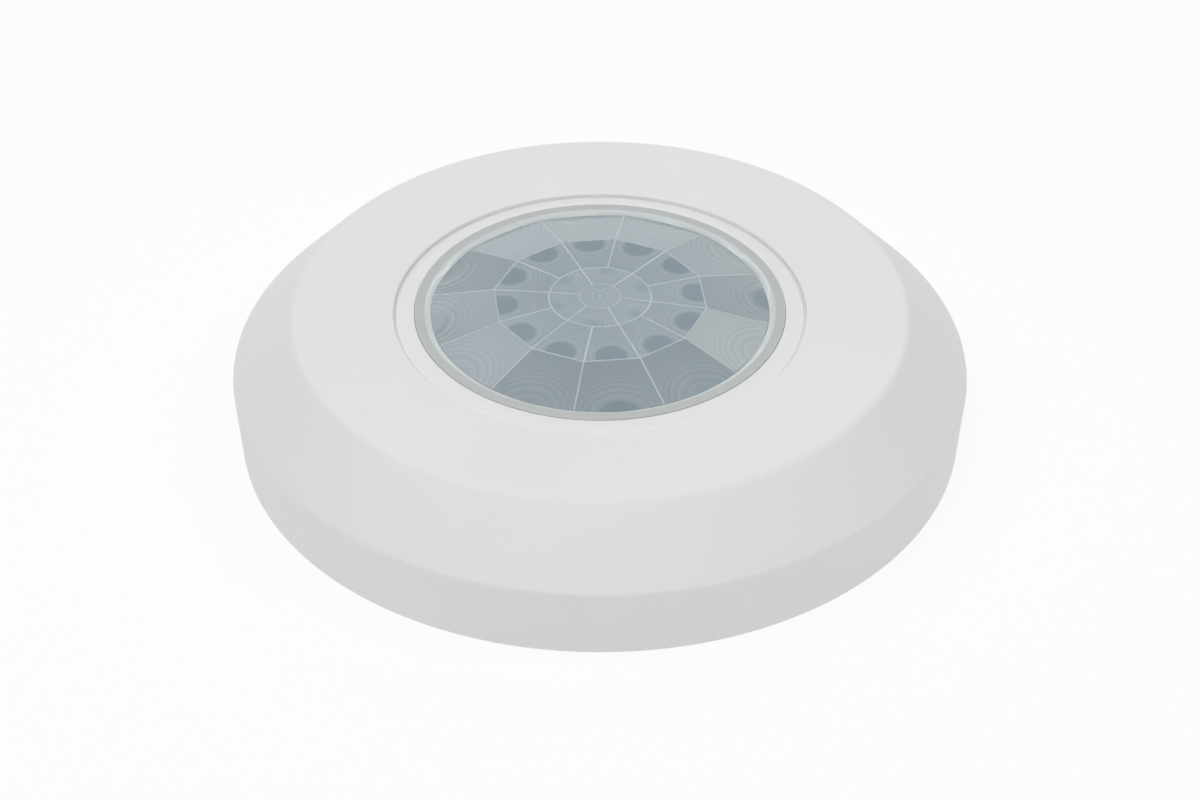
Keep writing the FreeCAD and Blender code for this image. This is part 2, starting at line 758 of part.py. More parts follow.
# ---- build --------------------------------------------------------------------------------
def main():
    os.makedirs("parts", exist_ok=True)
    save("front_cover", front_cover())
    save("lens_ring", lens_ring())
    save("fresnel_lens", fresnel_lens())
    save("lens_clamp", lens_clamp())
    save("ring_keeper", ring_keeper())
    save("keeper_screws", keeper_screws())
    save("mounting_base", mounting_base())
    save("wire_grommet", wire_grommet())
    save("circuit_board", circuit_board())
    save("board_screws", board_screws())
    save("detector_can", detector_can())
    save("detector_window", detector_window())
    save("detector_leads", detector_leads())
    save("detector_boot", detector_boot())
    save("terminal_block", terminal_block())
    save("terminal_clamps", terminal_clamps())
    save("terminal_screws", terminal_screws())
    save("terminal_pins", terminal_pins())
    save("tamper_switch", tamper_switch())
    save("tamper_plunger", tamper_plunger())
    save("tamper_spring", tamper_spring())
    save("option_switch", option_switch())
    for index in range(option_count):
        save("option_slider_%d" % (index + 1), option_slider(index))
    save("microcontroller", gull_chip(controller_size, controller_spot, controller_leads, controller_pitch))
    save("alarm_relay", gull_chip(relay_size, relay_spot, relay_leads, relay_pitch))
    save("voltage_regulator", gull_chip(regulator_size, regulator_spot, regulator_leads, regulator_pitch))
    save("surge_diode", chips([(*diode_spot, False)], diode_size))
    save("aluminium_capacitors", Part.makeCompound([capacitor_can(*can) for can in capacitor_cans]))
    save("chip_resistors", chips(resistor_spots, resistor_size))
    save("chip_capacitors", chips(chip_capacitor_spots, chip_capacitor_size))
    save("alarm_indicator", indicator())


main()
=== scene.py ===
"""Looks of a low-profile 360 degree ceiling motion sensor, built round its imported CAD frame.

Lengths in the classes are millimetres, as on a maker's drawing, and MM turns them into metres.
The sensor lies on its ceiling side with its lens up, +Z out of the lens and the terminals towards -Y.
"""

import logging
import math
from dataclasses import dataclass, field
from enum import Enum
from typing import Any, Mapping, Sequence

import bpy
import numpy as np
from mathutils import Euler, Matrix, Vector


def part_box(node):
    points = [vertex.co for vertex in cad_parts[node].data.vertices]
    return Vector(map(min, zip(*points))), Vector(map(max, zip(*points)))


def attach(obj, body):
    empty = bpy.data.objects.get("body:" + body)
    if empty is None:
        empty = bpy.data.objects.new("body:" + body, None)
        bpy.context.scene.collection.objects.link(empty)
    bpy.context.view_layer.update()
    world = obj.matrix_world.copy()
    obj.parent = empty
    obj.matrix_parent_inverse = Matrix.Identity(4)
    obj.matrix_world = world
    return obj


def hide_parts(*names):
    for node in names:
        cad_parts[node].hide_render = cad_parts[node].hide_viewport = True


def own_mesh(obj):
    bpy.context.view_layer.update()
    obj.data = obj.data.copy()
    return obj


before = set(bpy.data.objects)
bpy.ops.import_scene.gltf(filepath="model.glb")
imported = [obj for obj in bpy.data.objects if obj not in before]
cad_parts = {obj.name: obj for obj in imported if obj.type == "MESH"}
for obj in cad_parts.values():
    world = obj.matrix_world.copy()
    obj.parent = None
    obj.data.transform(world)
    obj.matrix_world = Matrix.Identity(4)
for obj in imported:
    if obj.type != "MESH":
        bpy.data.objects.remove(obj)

MM = 0.001
LOG = logging.getLogger("motion_sensor")

# points (n, 3) in millimetres, and the faces over them
Shape = tuple[np.ndarray, Any]


# ------------------------------------------------------------------------------------------
# Mesh tools
# ------------------------------------------------------------------------------------------
def new_piece(name: str, points: np.ndarray, faces: np.ndarray | list,
              smooth: bool = True) -> bpy.types.Object:
    """Puts points and faces into a new mesh object at the origin.

    Args:
        name: The piece's name.
        points: Array (n, 3) of places in millimetres.
        faces: Quads or triangles, as rows of point numbers.
        smooth: Whether the faces are shaded smooth.

    Returns:
        The new object, linked to the scene.
    """
    mesh = bpy.data.meshes.new(name)
    mesh.from_pydata((np.asarray(points, float) * MM).tolist(), [], [list(map(int, f)) for f in faces])
    mesh.polygons.foreach_set("use_smooth", np.full(len(mesh.polygons), smooth))
    mesh.update()
    piece = bpy.data.objects.new(name, mesh)
    bpy.context.scene.collection.objects.link(piece)
    return piece


def grid_faces(rows: int, columns: int, wrap_rows: bool, wrap_columns: bool) -> np.ndarray:
    """Quads of a grid whose point (i, j) has the number i * columns + j.

    Args:
        rows: Number of points along the first parameter.
        columns: Number of points along the second parameter.
        wrap_rows: Whether the last row joins the first.
        wrap_columns: Whether the last column joins the first.

    Returns:
        Array (n, 4) of point numbers.
    """
    i = np.arange(rows if wrap_rows else rows - 1)[:, None]
    j = np.arange(columns if wrap_columns else columns - 1)[None, :]
    after_i, after_j = (i + 1) % rows, (j + 1) % columns
    corners = [i * columns + j, i * columns + after_j, after_i * columns + after_j, after_i * columns + j]
    return np.stack([np.broadcast_to(c, (i.size, j.size)) for c in corners], axis=-1).reshape(-1, 4)


def lathe(radius: np.ndarray, height: np.ndarray, turn: np.ndarray, poles: bool) -> Shape:
    """Surface of revolution: x = r cos(t), y = r sin(t), z = h, with r and h free to vary with t.

    Args:
        radius: Array (n,) or (n, m), the profile's radii; it runs so that the outside is on its right.
        height: Array like radius, the profile's heights.
        turn: Array (m,) of angles in radians, one turn without its end.
        poles: True when the first and last rows are points on the axis, False for a closed ring section.

    Returns:
        Points (k, 3) in millimetres, and faces.
    """
    radius = np.broadcast_to(radius if radius.ndim == 2 else radius[:, None], (radius.shape[0], turn.size))
    height = np.broadcast_to(height if height.ndim == 2 else height[:, None], radius.shape)
    points = np.stack([radius * np.cos(turn), radius * np.sin(turn), height], axis=-1)
    rows, columns = radius.shape
    if not poles:
        return points.reshape(-1, 3), grid_faces(rows, columns, True, True)
    inner = points[1:-1].reshape(-1, 3)
    faces = grid_faces(rows - 2, columns, False, True).tolist()
    first, last = len(inner), len(inner) + 1
    ring = np.arange(columns)
    after = (ring + 1) % columns
    low = (rows - 3) * columns
    faces += np.stack([np.full(columns, first), after, ring], axis=-1).tolist()
    faces += np.stack([np.full(columns, last), low + ring, low + after], axis=-1).tolist()
    return np.vstack([inner, points[0, :1], points[-1, :1]]), faces


def rounded(corners: Sequence[tuple[float, float, float]], steps: int = 6, closed: bool = True) -> np.ndarray:
    """Outline with rounded corners: each corner (r, z, round) becomes an arc tangent to its two sides.

    Args:
        corners: Corner radius from the axis, height and rounding, in millimetres.
        steps: Pieces in each arc.
        closed: Whether the last corner joins the first.

    Returns:
        Array (n, 2) of radius and height.
    """
    made = []
    count = len(corners)
    for index, (r, z, rounding) in enumerate(corners):
        here = np.array([r, z])
        if rounding <= 0 or (not closed and index in (0, count - 1)):
            made.append(here[None])
            continue
        back = np.array(corners[index - 1][:2]) - here
        ahead = np.array(corners[(index + 1) % count][:2]) - here
        back, ahead = back / np.linalg.norm(back), ahead / np.linalg.norm(ahead)
        half = math.acos(float(np.clip(back @ ahead, -1, 1))) / 2
        centre = here + (back + ahead) / np.linalg.norm(back + ahead) * rounding / math.sin(half)
        start, end = (here + side * rounding / math.tan(half) - centre for side in (back, ahead))
        angle = math.atan2(start[1], start[0])
        sweep = (math.atan2(end[1], end[0]) - angle + math.pi) % (2 * math.pi) - math.pi
        turn = angle + sweep * np.linspace(0, 1, steps + 1)
        made.append(centre + rounding * np.stack([np.cos(turn), np.sin(turn)], axis=-1))
    return np.vstack(made)


def even_turn(columns: int) -> np.ndarray:
    """Angles of a full turn in equal steps, in radians."""
    return np.linspace(0, 2 * math.pi, columns, endpoint=False)


def box_piece(size: tuple[float, float, float], centre: tuple[float, float, float],
              bevel: float) -> Shape:
    """Box whose edges are cut at 45 degrees.

    A corner's three points are sign * (half - bevel), with the bevel left out along one axis each.

    Args:
        size: Width, depth and height in millimetres.
        centre: Its middle.
        bevel: Width of the cut along each face.

    Returns:
        Points (24, 3) and faces.
    """
    half = np.array(size) / 2
    signs = np.array([(x, y, z) for x in (-1, 1) for y in (-1, 1) for z in (-1, 1)], float)
    points = []
    for sign in signs:
        for axis in range(3):
            inset = np.full(3, bevel)
            inset[axis] = 0
            points.append(sign * (half - inset))
    points = np.array(points) + np.array(centre)

    def number(sign: tuple[int, int, int], axis: int) -> int:
        """Number of the corner's point that lies on the face across the axis."""
        return 3 * ((sign[0] > 0) * 4 + (sign[1] > 0) * 2 + (sign[2] > 0)) + axis

    faces = []
    for axis in range(3):
        first, second = (axis + 1) % 3, (axis + 2) % 3
        for side in (-1, 1):
            order = [(-1, -1), (1, -1), (1, 1), (-1, 1)]
            face = []
            for a, b in order if side > 0 else order[::-1]:
                sign = [0, 0, 0]
                sign[axis], sign[first], sign[second] = side, a, b
                face.append(number(tuple(sign), axis))
            faces.append(face)
        for a in (-1, 1):
            for b in (-1, 1):
                sign = [0, 0, 0]
                sign[first], sign[second] = a, b
                ends = []
                for end in (-1, 1):
                    sign[axis] = end
                    ends.append((number(tuple(sign), first), number(tuple(sign), second)))
                face = [ends[0][0], ends[1][0], ends[1][1], ends[0][1]]
                faces.append(face if a * b > 0 else face[::-1])
    for sign in signs.astype(int):
        face = [number(tuple(sign), axis) for axis in range(3)]
        faces.append(face if sign.prod() > 0 else face[::-1])
    return points, faces


def loft(rows: np.ndarray) -> Shape:
    """Closed body through rows of outlines, point (i, j) joined to (i, j + 1) and (i + 1, j), with flat ends.

    Args:
        rows: Array (k, n, 3); seen from the last row's side, each outline runs counter-clockwise.

    Returns:
        Points and faces.
    """
    count, columns, _ = rows.shape
    faces = grid_faces(count, columns, False, True).tolist()
    faces += [list(range(columns))[::-1], [(count - 1) * columns + j for j in range(columns)]]
    return rows.reshape(-1, 3), faces


def stacked(levels: Sequence[tuple[float, float, float]], cut: float) -> Shape:
    """Block through rectangles one above the other, each a row of eight points.

    Args:
        levels: Width, depth and height of each rectangle, from the lowest to the highest.
        cut: How much the 45 degree cut takes off each corner's sides.

    Returns:
        Points and faces.
    """
    rows = []
    for width, depth, z in levels:
        x, y = width / 2, depth / 2
        rows.append([(x, y - cut, z), (x - cut, y, z), (cut - x, y, z), (-x, y - cut, z),
                     (-x, cut - y, z), (cut - x, -y, z), (x - cut, -y, z), (x, cut - y, z)])
    return loft(np.array(rows, float))


def ribbon(path: Any, width: float, low: float, high: float, closed: bool = False) -> Shape:
    """Flat strip along a path in the XY plane, its edges at p +- width / 2 * (n1 + n2) / (1 + n1 . n2).

    Args:
        path: Array (n, 2) of points, whose sides' normals are n1 before and n2 after each point.
        width: Width across the strip.
        low: Height of its underside.
        high: Height of its top.
        closed: Whether the last point joins the first.

    Returns:
        Points and faces.
    """
    path = np.asarray(path, float)
    ahead = np.roll(path, -1, axis=0) - path
    if not closed:
        ahead[-1] = ahead[-2]
    ahead /= np.linalg.norm(ahead, axis=1, keepdims=True)
    back = np.roll(ahead, 1, axis=0)
    if not closed:
        back[0] = ahead[0]
    first, second = (np.stack([-d[:, 1], d[:, 0]], axis=-1) for d in (back, ahead))
    mitre = (first + second) / (1 + (first * second).sum(axis=1, keepdims=True)) * width / 2
    left, right = path + mitre, path - mitre
    rows = np.stack([np.column_stack([edge, np.full(len(path), z)])
                     for edge, z in ((left, high), (right, high), (right, low), (left, low))], axis=1)
    if closed:
        return rows.reshape(-1, 3), grid_faces(len(path), 4, True, True).tolist()
    return loft(rows)


def joined(parts: Sequence[Shape]) -> Shape:
    """Several shapes as one, with the faces renumbered.

    Args:
        parts: The shapes.

    Returns:
        Points and faces of all of them.
    """
    points, faces, count = [], [], 0
    for part_points, part_faces in parts:
        points.append(np.asarray(part_points, float))
        faces += [[int(n) + count for n in f] for f in part_faces]
        count += len(part_points)
    return np.vstack(points), faces


def moved(part: Shape, x: float = 0.0, y: float = 0.0, z: float = 0.0,
          turn: float = 0.0) -> Shape:
    """A shape turned about Z, then shifted.

    Args:
        part: The shape.
        x: Shift along X, in millimetres.
        y: Shift along Y.
        z: Shift along Z.
        turn: Turn about Z, in radians.

    Returns:
        The shape in its new place.
    """
    cosine, sine = math.cos(turn), math.sin(turn)
    points = part[0] @ np.array([[cosine, sine, 0], [-sine, cosine, 0], [0, 0, 1]])
    return points + np.array([x, y, z]), part[1]


def node_box(node: str) -> tuple[np.ndarray, np.ndarray]:
    """Lowest and highest corners of a CAD node, in millimetres."""
    low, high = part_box(node)
    return np.array(low) / MM, np.array(high) / MM


# ------------------------------------------------------------------------------------------
# Finishes
# ------------------------------------------------------------------------------------------
def linear(code: str) -> tuple[float, float, float, float]:
    """sRGB hex colour, such as "E0E0DE", as linear RGBA."""
    parts = [int(code[i:i + 2], 16) / 255 for i in (0, 2, 4)]
    return (*[p / 12.92 if p <= 0.04045 else ((p + 0.055) / 1.055) ** 2.4 for p in parts], 1.0)


def add_node(tree: bpy.types.NodeTree, kind: str, settings: Mapping[str, Any] | None = None,
             links: Mapping[Any, Any] | None = None) -> bpy.types.Node:
    """Adds one node.

    Args:
        tree: The material's node tree.
        kind: The node's type name.
        settings: Attributes of the node.
        links: Input name or number to a value or to another node's output socket.

    Returns:
        The node.
    """
    node = tree.nodes.new(kind)
    for name, value in (settings or {}).items():
        setattr(node, name, value)
    for name, value in (links or {}).items():
        if isinstance(value, bpy.types.NodeSocket):
            tree.links.new(value, node.inputs[name])
        else:
            node.inputs[name].default_value = value
    return node


def ramp(tree: bpy.types.NodeTree, source: bpy.types.NodeSocket,
         stops: Sequence[tuple[float, tuple]]) -> bpy.types.NodeSocket:
    """Colour ramp over a value.

    Args:
        tree: The material's node tree.
        source: The value that picks the colour.
        stops: Pairs of place and linear RGBA colour.

    Returns:
        The ramp's colour socket.
    """
    node = add_node(tree, "ShaderNodeValToRGB", links={"Fac": source})
    elements = node.color_ramp.elements
    while len(elements) < len(stops):
        elements.new(0.5)
    for element, (place, colour) in zip(elements, stops):
        element.position = place
        element.color = colour
    return node.outputs["Color"]


# nearly all values of a noise lie between these two
NOISE_LOW, NOISE_HIGH = 0.3, 0.7


@dataclass(frozen=True)
class Finish:
    """A finish: two close colours that a cloudy pattern mixes, a roughness span and a fine relief.

    Sizes are millimetres. The cloud is the slow colour change over a moulding or sheet, and the grain is
    the fine relief that the tool or the metal leaves. Grains under about 0.2 mm are finer than a render
    shows and only soften the highlight.
    """

    name: str
    light: str
    dark: str
    roughness: float
    roughness_span: float = 0.06
    cloud: float = 18.0
    grain: float = 0.35
    relief: float = 0.004
    metallic: float = 0.0
    ior: float = 1.5
    coat: float = 0.0
    subsurface: float = 0.0
    scatter_reach: float = 0.6
    scatter_colour: tuple[float, float, float] = (1.0, 0.9, 0.8)
    stretch: tuple[float, float, float] = (1.0, 1.0, 1.0)

    def build(self) -> bpy.types.Material:
        """Makes the material, with its colour, roughness and relief from Object coordinates.

        Returns:
            The material.
        """
        material = bpy.data.materials.new(self.name)
        material.use_nodes = True
        tree = material.node_tree
        shader = tree.nodes["Principled BSDF"]
        place = add_node(tree, "ShaderNodeTexCoord").outputs["Object"]
        stretched = add_node(tree, "ShaderNodeMapping", links={"Vector": place, "Scale": self.stretch})
        cloud = add_node(tree, "ShaderNodeTexNoise",
                         links={"Vector": place, "Scale": 1 / (self.cloud * MM), "Detail": 3.0})
        grain = add_node(tree, "ShaderNodeTexNoise",
                         links={"Vector": stretched.outputs[0], "Scale": 1 / (self.grain * MM),
                                "Detail": 2.0})
        stops = [(NOISE_LOW, linear(self.dark)), (NOISE_HIGH, linear(self.light))]
        colour = ramp(tree, cloud.outputs["Fac"], stops)
        tree.links.new(colour, shader.inputs["Base Color"])
        span = add_node(tree, "ShaderNodeMapRange",
                        links={"Value": grain.outputs["Fac"], "From Min": NOISE_LOW, "From Max": NOISE_HIGH,
                               "To Min": self.roughness - self.roughness_span,
                               "To Max": self.roughness + self.roughness_span})
        tree.links.new(span.outputs[0], shader.inputs["Roughness"])
        bump = add_node(tree, "ShaderNodeBump",
                        links={"Height": grain.outputs["Fac"], "Distance": self.relief * MM, "Strength": 1.0})
        tree.links.new(bump.outputs[0], shader.inputs["Normal"])
        shader.inputs["Metallic"].default_value = self.metallic
        shader.inputs["IOR"].default_value = self.ior
        shader.inputs["Coat Weight"].default_value = self.coat
        if self.subsurface:
            shader.inputs["Subsurface Weight"].default_value = self.subsurface
            shader.inputs["Subsurface Scale"].default_value = self.scatter_reach * MM
            shader.inputs["Subsurface Radius"].default_value = self.scatter_colour
        return material


class Stuff(Enum):
    """The finishes of the sensor, each as its real material and how its surface was made."""

    # White ABS from a spark-eroded tool: an even satin with a grain too fine to see singly.
    WHITE_ABS = Finish("moulded_white_abs", "E9E9E8", "E6E6E5", 0.5, cloud=30.0, grain=0.22, relief=0.0035,
                       subsurface=0.08)
    # The same resin on inner faces, from a plainer, glossier tool with flow marks.
    INNER_ABS = Finish("plain_tool_white_abs", "E4E4E1", "DEDEDB", 0.38, cloud=14.0, grain=1.2, relief=0.006)
    # Carbon-black rubber from a blasted mould: dull, with hardly a highlight.
    RUBBER = Finish("moulded_black_rubber", "242424", "1A1A1A", 0.72, grain=0.3, relief=0.01)
    # Bright zinc plate on steel: a cool metal, slightly cloudy from place to place.
    ZINC = Finish("zinc_plated_steel", "C9CDD0", "B2B8BE", 0.28, cloud=1.5, grain=0.12, relief=0.002,
                  metallic=1.0)
    # Hot-tinned copper: neutral white metal, a little uneven where the tin has flowed.
    TIN = Finish("bright_tinned_copper", "D6D6D4", "BEBFBF", 0.3, cloud=1.0, grain=0.2, relief=0.004,
                 metallic=1.0)
    # Nickel plate on a drawn can: a yellowish metal with fine lines round its wall.
    NICKEL = Finish("drawn_nickel_plated_can", "D3CEC4", "C2BCB0", 0.24, cloud=3.0, grain=0.1, relief=0.0015,
                    metallic=1.0, stretch=(1.0, 1.0, 6.0))
    # Cold-drawn steel wire: grey metal with a soft shine.
    SPRING = Finish("drawn_spring_wire", "A9ABAD", "8E9194", 0.32, cloud=0.8, grain=0.08, relief=0.002,
                    metallic=1.0)
    # Bare drawn aluminium: the palest metal on the board, satin and clean.
    CAN_ALUMINIUM = Finish("drawn_aluminium_can", "DCDDDF", "CBCDD0", 0.3, cloud=2.0, grain=0.12,
                           relief=0.0015, metallic=1.0)
    # Polished silicon under a thin coating: a dark violet face with sharp reflections.
    WINDOW = Finish("coated_silicon_window", "3A3140", "241F2B", 0.12, cloud=2.0, grain=1.0, relief=0.0005,
                    ior=1.9, coat=0.5)
    # Polyamide from a fine-textured tool: strong green with a broad, soft highlight.
    TERMINAL = Finish("moulded_green_polyamide", "2F9560", "278453", 0.42, cloud=6.0, grain=0.25,
                      relief=0.004)
    # Transfer-moulded epoxy: dark grey and slightly rough.
    EPOXY = Finish("moulded_black_epoxy", "2A2A2C", "1D1D1F", 0.55, cloud=2.5, grain=0.12, relief=0.006)
    # Pale moulded epoxy: an off-white satin, warmer than the cover.
    RELAY = Finish("moulded_white_epoxy", "E6E5DF", "DAD9D2", 0.5, cloud=3.0, grain=0.14, relief=0.005)
    # Unfilled nylon from a smooth tool: warm white, and a little milky at its edges.
    NYLON = Finish("moulded_white_nylon", "F0EFEA", "E6E5DF", 0.4, cloud=2.0, grain=0.2, relief=0.003,
                   subsurface=0.15)
    # Pigmented polyamide, moulded: a deep red satin.
    RED_POLYAMIDE = Finish("moulded_red_polyamide", "B02A24", "96221D", 0.45, cloud=3.0, grain=0.2,
                           relief=0.004)
    # Cast resin with a red dye: smooth and glossy like a drop.
    RED_RESIN = Finish("clear_red_resin", "D5281E", "B81D16", 0.12, cloud=2.0, grain=1.0, relief=0.0008,
                       coat=0.4)
    # Glass fired over a printed film: small black faces with a glint.
    RESISTOR = Finish("glazed_black_chip", "222326", "17181A", 0.25, cloud=0.6, grain=0.1, relief=0.002)
    # Fired ceramic, cut into chips: a plain tan, neither dull nor glossy.
    CERAMIC = Finish("fired_ceramic_chip", "B89670", "A08059", 0.5, cloud=0.7, grain=0.1, relief=0.003)
    # Cured resin film over glass-epoxy sheet: an even blue under a smooth, thin gloss.
    SOLDER_MASK = Finish("blue_solder_mask", "1E4C86", "1A4275", 0.3, roughness_span=0.03, cloud=5.0,
                         grain=0.6, relief=0.0008, coat=0.3)
    # Copper under the same film: a lighter blue, where the metal shines through.
    MASKED_COPPER = Finish("mask_over_copper", "3E78AE", "356C9F", 0.26, cloud=2.0, grain=0.3, relief=0.002,
                           coat=0.4)
    # Solder that has flowed and set: bright metal with small ripples.
    SOLDER = Finish("reflowed_solder", "C9CACB", "ADAFB2", 0.22, cloud=0.5, grain=0.15, relief=0.006,
                    metallic=1.0)
    # Screen-printed ink: dull white lines.
    INK = Finish("printed_white_ink", "ECECE6", "DADAD2", 0.6, cloud=0.8, grain=0.12, relief=0.004)
    # Epoxy whose skin a laser has burnt off: a dull grey spot.
    LASER_MARK = Finish("laser_marked_epoxy", "77777A", "646467", 0.65, cloud=0.4, grain=0.08, relief=0.004)

    def material(self) -> bpy.types.Material:
        """The finish's material, made once."""
        return bpy.data.materials.get(self.value.name) or self.value.build()


def dress(piece: bpy.types.Object, material: bpy.types.Material) -> bpy.types.Object:
    """Gives a piece one material.

    Args:
        piece: The piece to dress.
        material: Its only material.

    Returns:
        The piece.
    """
    piece.data.materials.clear()
    piece.data.materials.append(material)
    return piece


# ------------------------------------------------------------------------------------------
# Cover
# ------------------------------------------------------------------------------------------
@dataclass
class CoverShell:
    """White moulded cover: drafted wall, conical shoulder and flat face with a round opening.

    Sizes are millimetres, angles degrees. The outline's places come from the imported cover's box.
    """

    wall: float = 2.0
    draft: float = 0.7
    shoulder_width: float = 7.45
    rim_height: float = 9.05
    rim_allowance: float = 0.03
    soft_edge: float = 0.8
    face_edge: float = 1.5
    foot_edge: float = 0.45
    foot_inner_edge: float = 0.3
    opening: float = 24.82
    opening_edges: tuple[float, float] = (0.2, 0.1)
    inner_edge: float = 0.6
    notch_middle: float = 90.0
    notch_width: float = 8.0
    notch_height: float = 1.5
    notch_reach: float = 5.0
    # half the width of the step at the notch's sides, and the space kept free round it, in radians
    notch_step: float = 0.0004
    notch_space: float = 0.004
    side_step: float = 2.5
    columns: int = 360

    rib_count: int = 12
    rib_size: tuple[float, float, float] = (2.6, 1.0, 2.8)
    rib_first: float = 15.0
    rib_place: tuple[float, float] = (-0.2, 2.0)
    key_size: tuple[float, float] = (2.1, 3.0)
    key_angle: float = 120.0
    key_inset: float = 0.75
    key_foot: float = 0.6
    bead_angles: tuple[float, float, float] = (60.0, 180.0, 300.0)
    bead_half_arc: float = 6.0
    bead_height: float = 3.4
    bead_half: float = 0.6
    bead_proud: float = 0.25
    sunk: float = 0.2
    post_radius: float = 2.2
    post_gap: float = 0.1
    boss_radius: float = 2.7
    boss_bore: float = 0.95
    boss_gap: float = 0.08
    boss_angles: tuple[float, float, float] = (90.0, 210.0, 330.0)
    screw_head: float = 1.8
    root: float = 0.4
    bore_end: float = 0.3
    post_edge: float = 0.25

    face_height: float = field(init=False)
    rim: float = field(init=False)

    def __post_init__(self) -> None:
        """Reads the cover's overall size from the frame."""
        low, high = node_box("front_cover")
        self.face_height = high[2]
        self.rim = round((high[0] - low[0]) / 2 + self.rim_allowance, 2)

    def outline(self) -> np.ndarray:
        """The wall's closed section: outside from the ceiling to the opening, then back down inside.

        The inner cone lies one wall's thickness inside the outer one, along its normal.

        Returns:
            Array (n, 2) of radius and height.
        """
        edge = self.rim - self.draft
        inner = edge - self.wall
        under = self.face_height - self.wall
        shoulder = self.rim - self.shoulder_width
        run, rise = self.shoulder_width, self.face_height - self.rim_height
        length = math.hypot(run, rise)
        shift_r, shift_z = self.wall * rise / length, self.wall * run / length
        inner_low = self.rim_height - shift_z + (self.rim - shift_r - inner) * rise / run
        inner_top = shoulder - shift_r + (self.face_height - shift_z - under) * run / rise
        upper, lower = self.opening_edges
        return rounded([
            (edge, 0, self.foot_edge), (self.rim, self.rim_height, self.soft_edge),
            (shoulder, self.face_height, self.face_edge), (self.opening, self.face_height, upper),
            (self.opening, under, lower), (inner_top, under, self.inner_edge),
            (inner, inner_low, self.inner_edge), (inner, 0, self.foot_inner_edge),
        ], steps=10)

    def turn(self) -> np.ndarray:
        """Column angles, in equal steps apart from the two sides of the notch, which get close pairs.

        Returns:
            Array of angles in radians.
        """
        half = self.notch_width / 2 / self.rim
        middle = math.radians(self.notch_middle)
        steps = (-self.notch_step, self.notch_step)
        sides = [middle + side * half + step for side in (-1, 1) for step in steps]
        even = even_turn(self.columns)
        keep = np.abs(np.abs(even - middle) - half) > self.notch_space
        return np.sort(np.concatenate([even[keep], sides]))

    def shell(self) -> Shape:
        """Revolves the section, with its foot lifted to the notch's height over the removal notch.

        A height z below notch_reach becomes notch_height + z (1 - notch_height / notch_reach) there.

        Returns:
            Points and faces.
        """
        turn = self.turn()
        section = self.densified(self.outline(), self.side_step)
        radius = np.repeat(section[:, :1], turn.size, axis=1)
        height = np.repeat(section[:, 1:], turn.size, axis=1)
        inside = np.abs(turn - math.radians(self.notch_middle)) < self.notch_width / 2 / self.rim
        share = (self.notch_reach - self.notch_height) / self.notch_reach
        lifted = np.where(height < self.notch_reach, self.notch_height + height * share, height)
        return lathe(radius, np.where(inside[None, :], lifted, height), turn, poles=False)

    @staticmethod
    def densified(section: np.ndarray, step: float) -> np.ndarray:
        """Adds points along the sides of a closed outline.

        Args:
            section: Array (n, 2), the outline's points.
            step: The longest distance to leave between two points.

        Returns:
            Array (m, 2) with the added points.
        """
        made = []
        for index, point in enumerate(section):
            after = section[(index + 1) % len(section)]
            count = max(1, math.ceil(np.linalg.norm(after - point) / step))
            made.append(point + (after - point) * np.arange(count)[:, None] / count)
        return np.vstack(made)

    def inner_features(self) -> list[Shape]:
        """Wall ribs, key, click beads, tamper post and keeper bosses, sunk a little into the wall.

        Returns:
            One shape for each.
        """
        edge = self.rim - self.draft
        inner = edge - self.wall
        root = self.face_height - self.wall + self.root
        base_top = node_box("mounting_base")[1][2]
        parts = []
        out, up = self.rib_place
        for index in range(self.rib_count):
            rib = box_piece(self.rib_size, (inner + out, 0, base_top + up), 0.15)
            parts.append(moved(rib, turn=math.radians(self.rib_first + 360 / self.rib_count * index)))
        key = box_piece((*self.key_size, base_top - self.key_foot),
                        (inner - self.key_inset, 0, (base_top + self.key_foot) / 2), 0.2)
        parts.append(moved(key, turn=math.radians(self.key_angle)))
        for angle in self.bead_angles:
            arc = np.radians(angle + np.linspace(-self.bead_half_arc, self.bead_half_arc, 17))
            parts.append(self.bead(arc, inner))
        plunger_low, plunger_high = node_box("tamper_plunger")
        middle = (plunger_low + plunger_high) / 2
        post = self.post(self.post_radius, plunger_high[2] + self.post_gap, root)
        parts.append(moved(post, middle[0], middle[1]))
        keeper_top = node_box("ring_keeper")[1][2]
        circle = node_box("keeper_screws")[1][1] - self.screw_head
        for angle in np.radians(self.boss_angles):
            boss = self.post(self.boss_radius, keeper_top + self.boss_gap, root, bore=self.boss_bore)
            parts.append(moved(boss, circle * math.cos(angle), circle * math.sin(angle)))
        return parts

    def bead(self, arc: np.ndarray, inner: float) -> Shape:
        """Half-round click bead along the wall's inside: r = inner - proud cos(a), z = height + half sin(a).

        Args:
            arc: Angles along the bead, in radians; it fades out at both ends.
            inner: The wall's inner radius.

        Returns:
            Points and faces.
        """
        around = np.linspace(-math.pi / 2, math.pi / 2, 9)
        fade = np.sin(np.linspace(0, math.pi, arc.size)) ** 0.3
        proud = inner - self.bead_proud * np.cos(around)[:, None] * fade[None, :]
        proud[[0, -1], :] = inner + self.sunk
        height = np.broadcast_to(self.bead_height + self.bead_half * np.sin(around)[:, None], proud.shape)
        points = np.stack([proud * np.cos(arc), proud * np.sin(arc), height], axis=-1).reshape(-1, 3)
        faces = grid_faces(around.size, arc.size, False, False)[:, ::-1].tolist()
        first = np.arange(around.size) * arc.size
        faces += [first[::-1].tolist(), (first + arc.size - 1).tolist()]
        last = (around.size - 1) * arc.size
        back = [[last + i + 1, last + i, i, i + 1] for i in range(arc.size - 1)]
        return points, faces + back

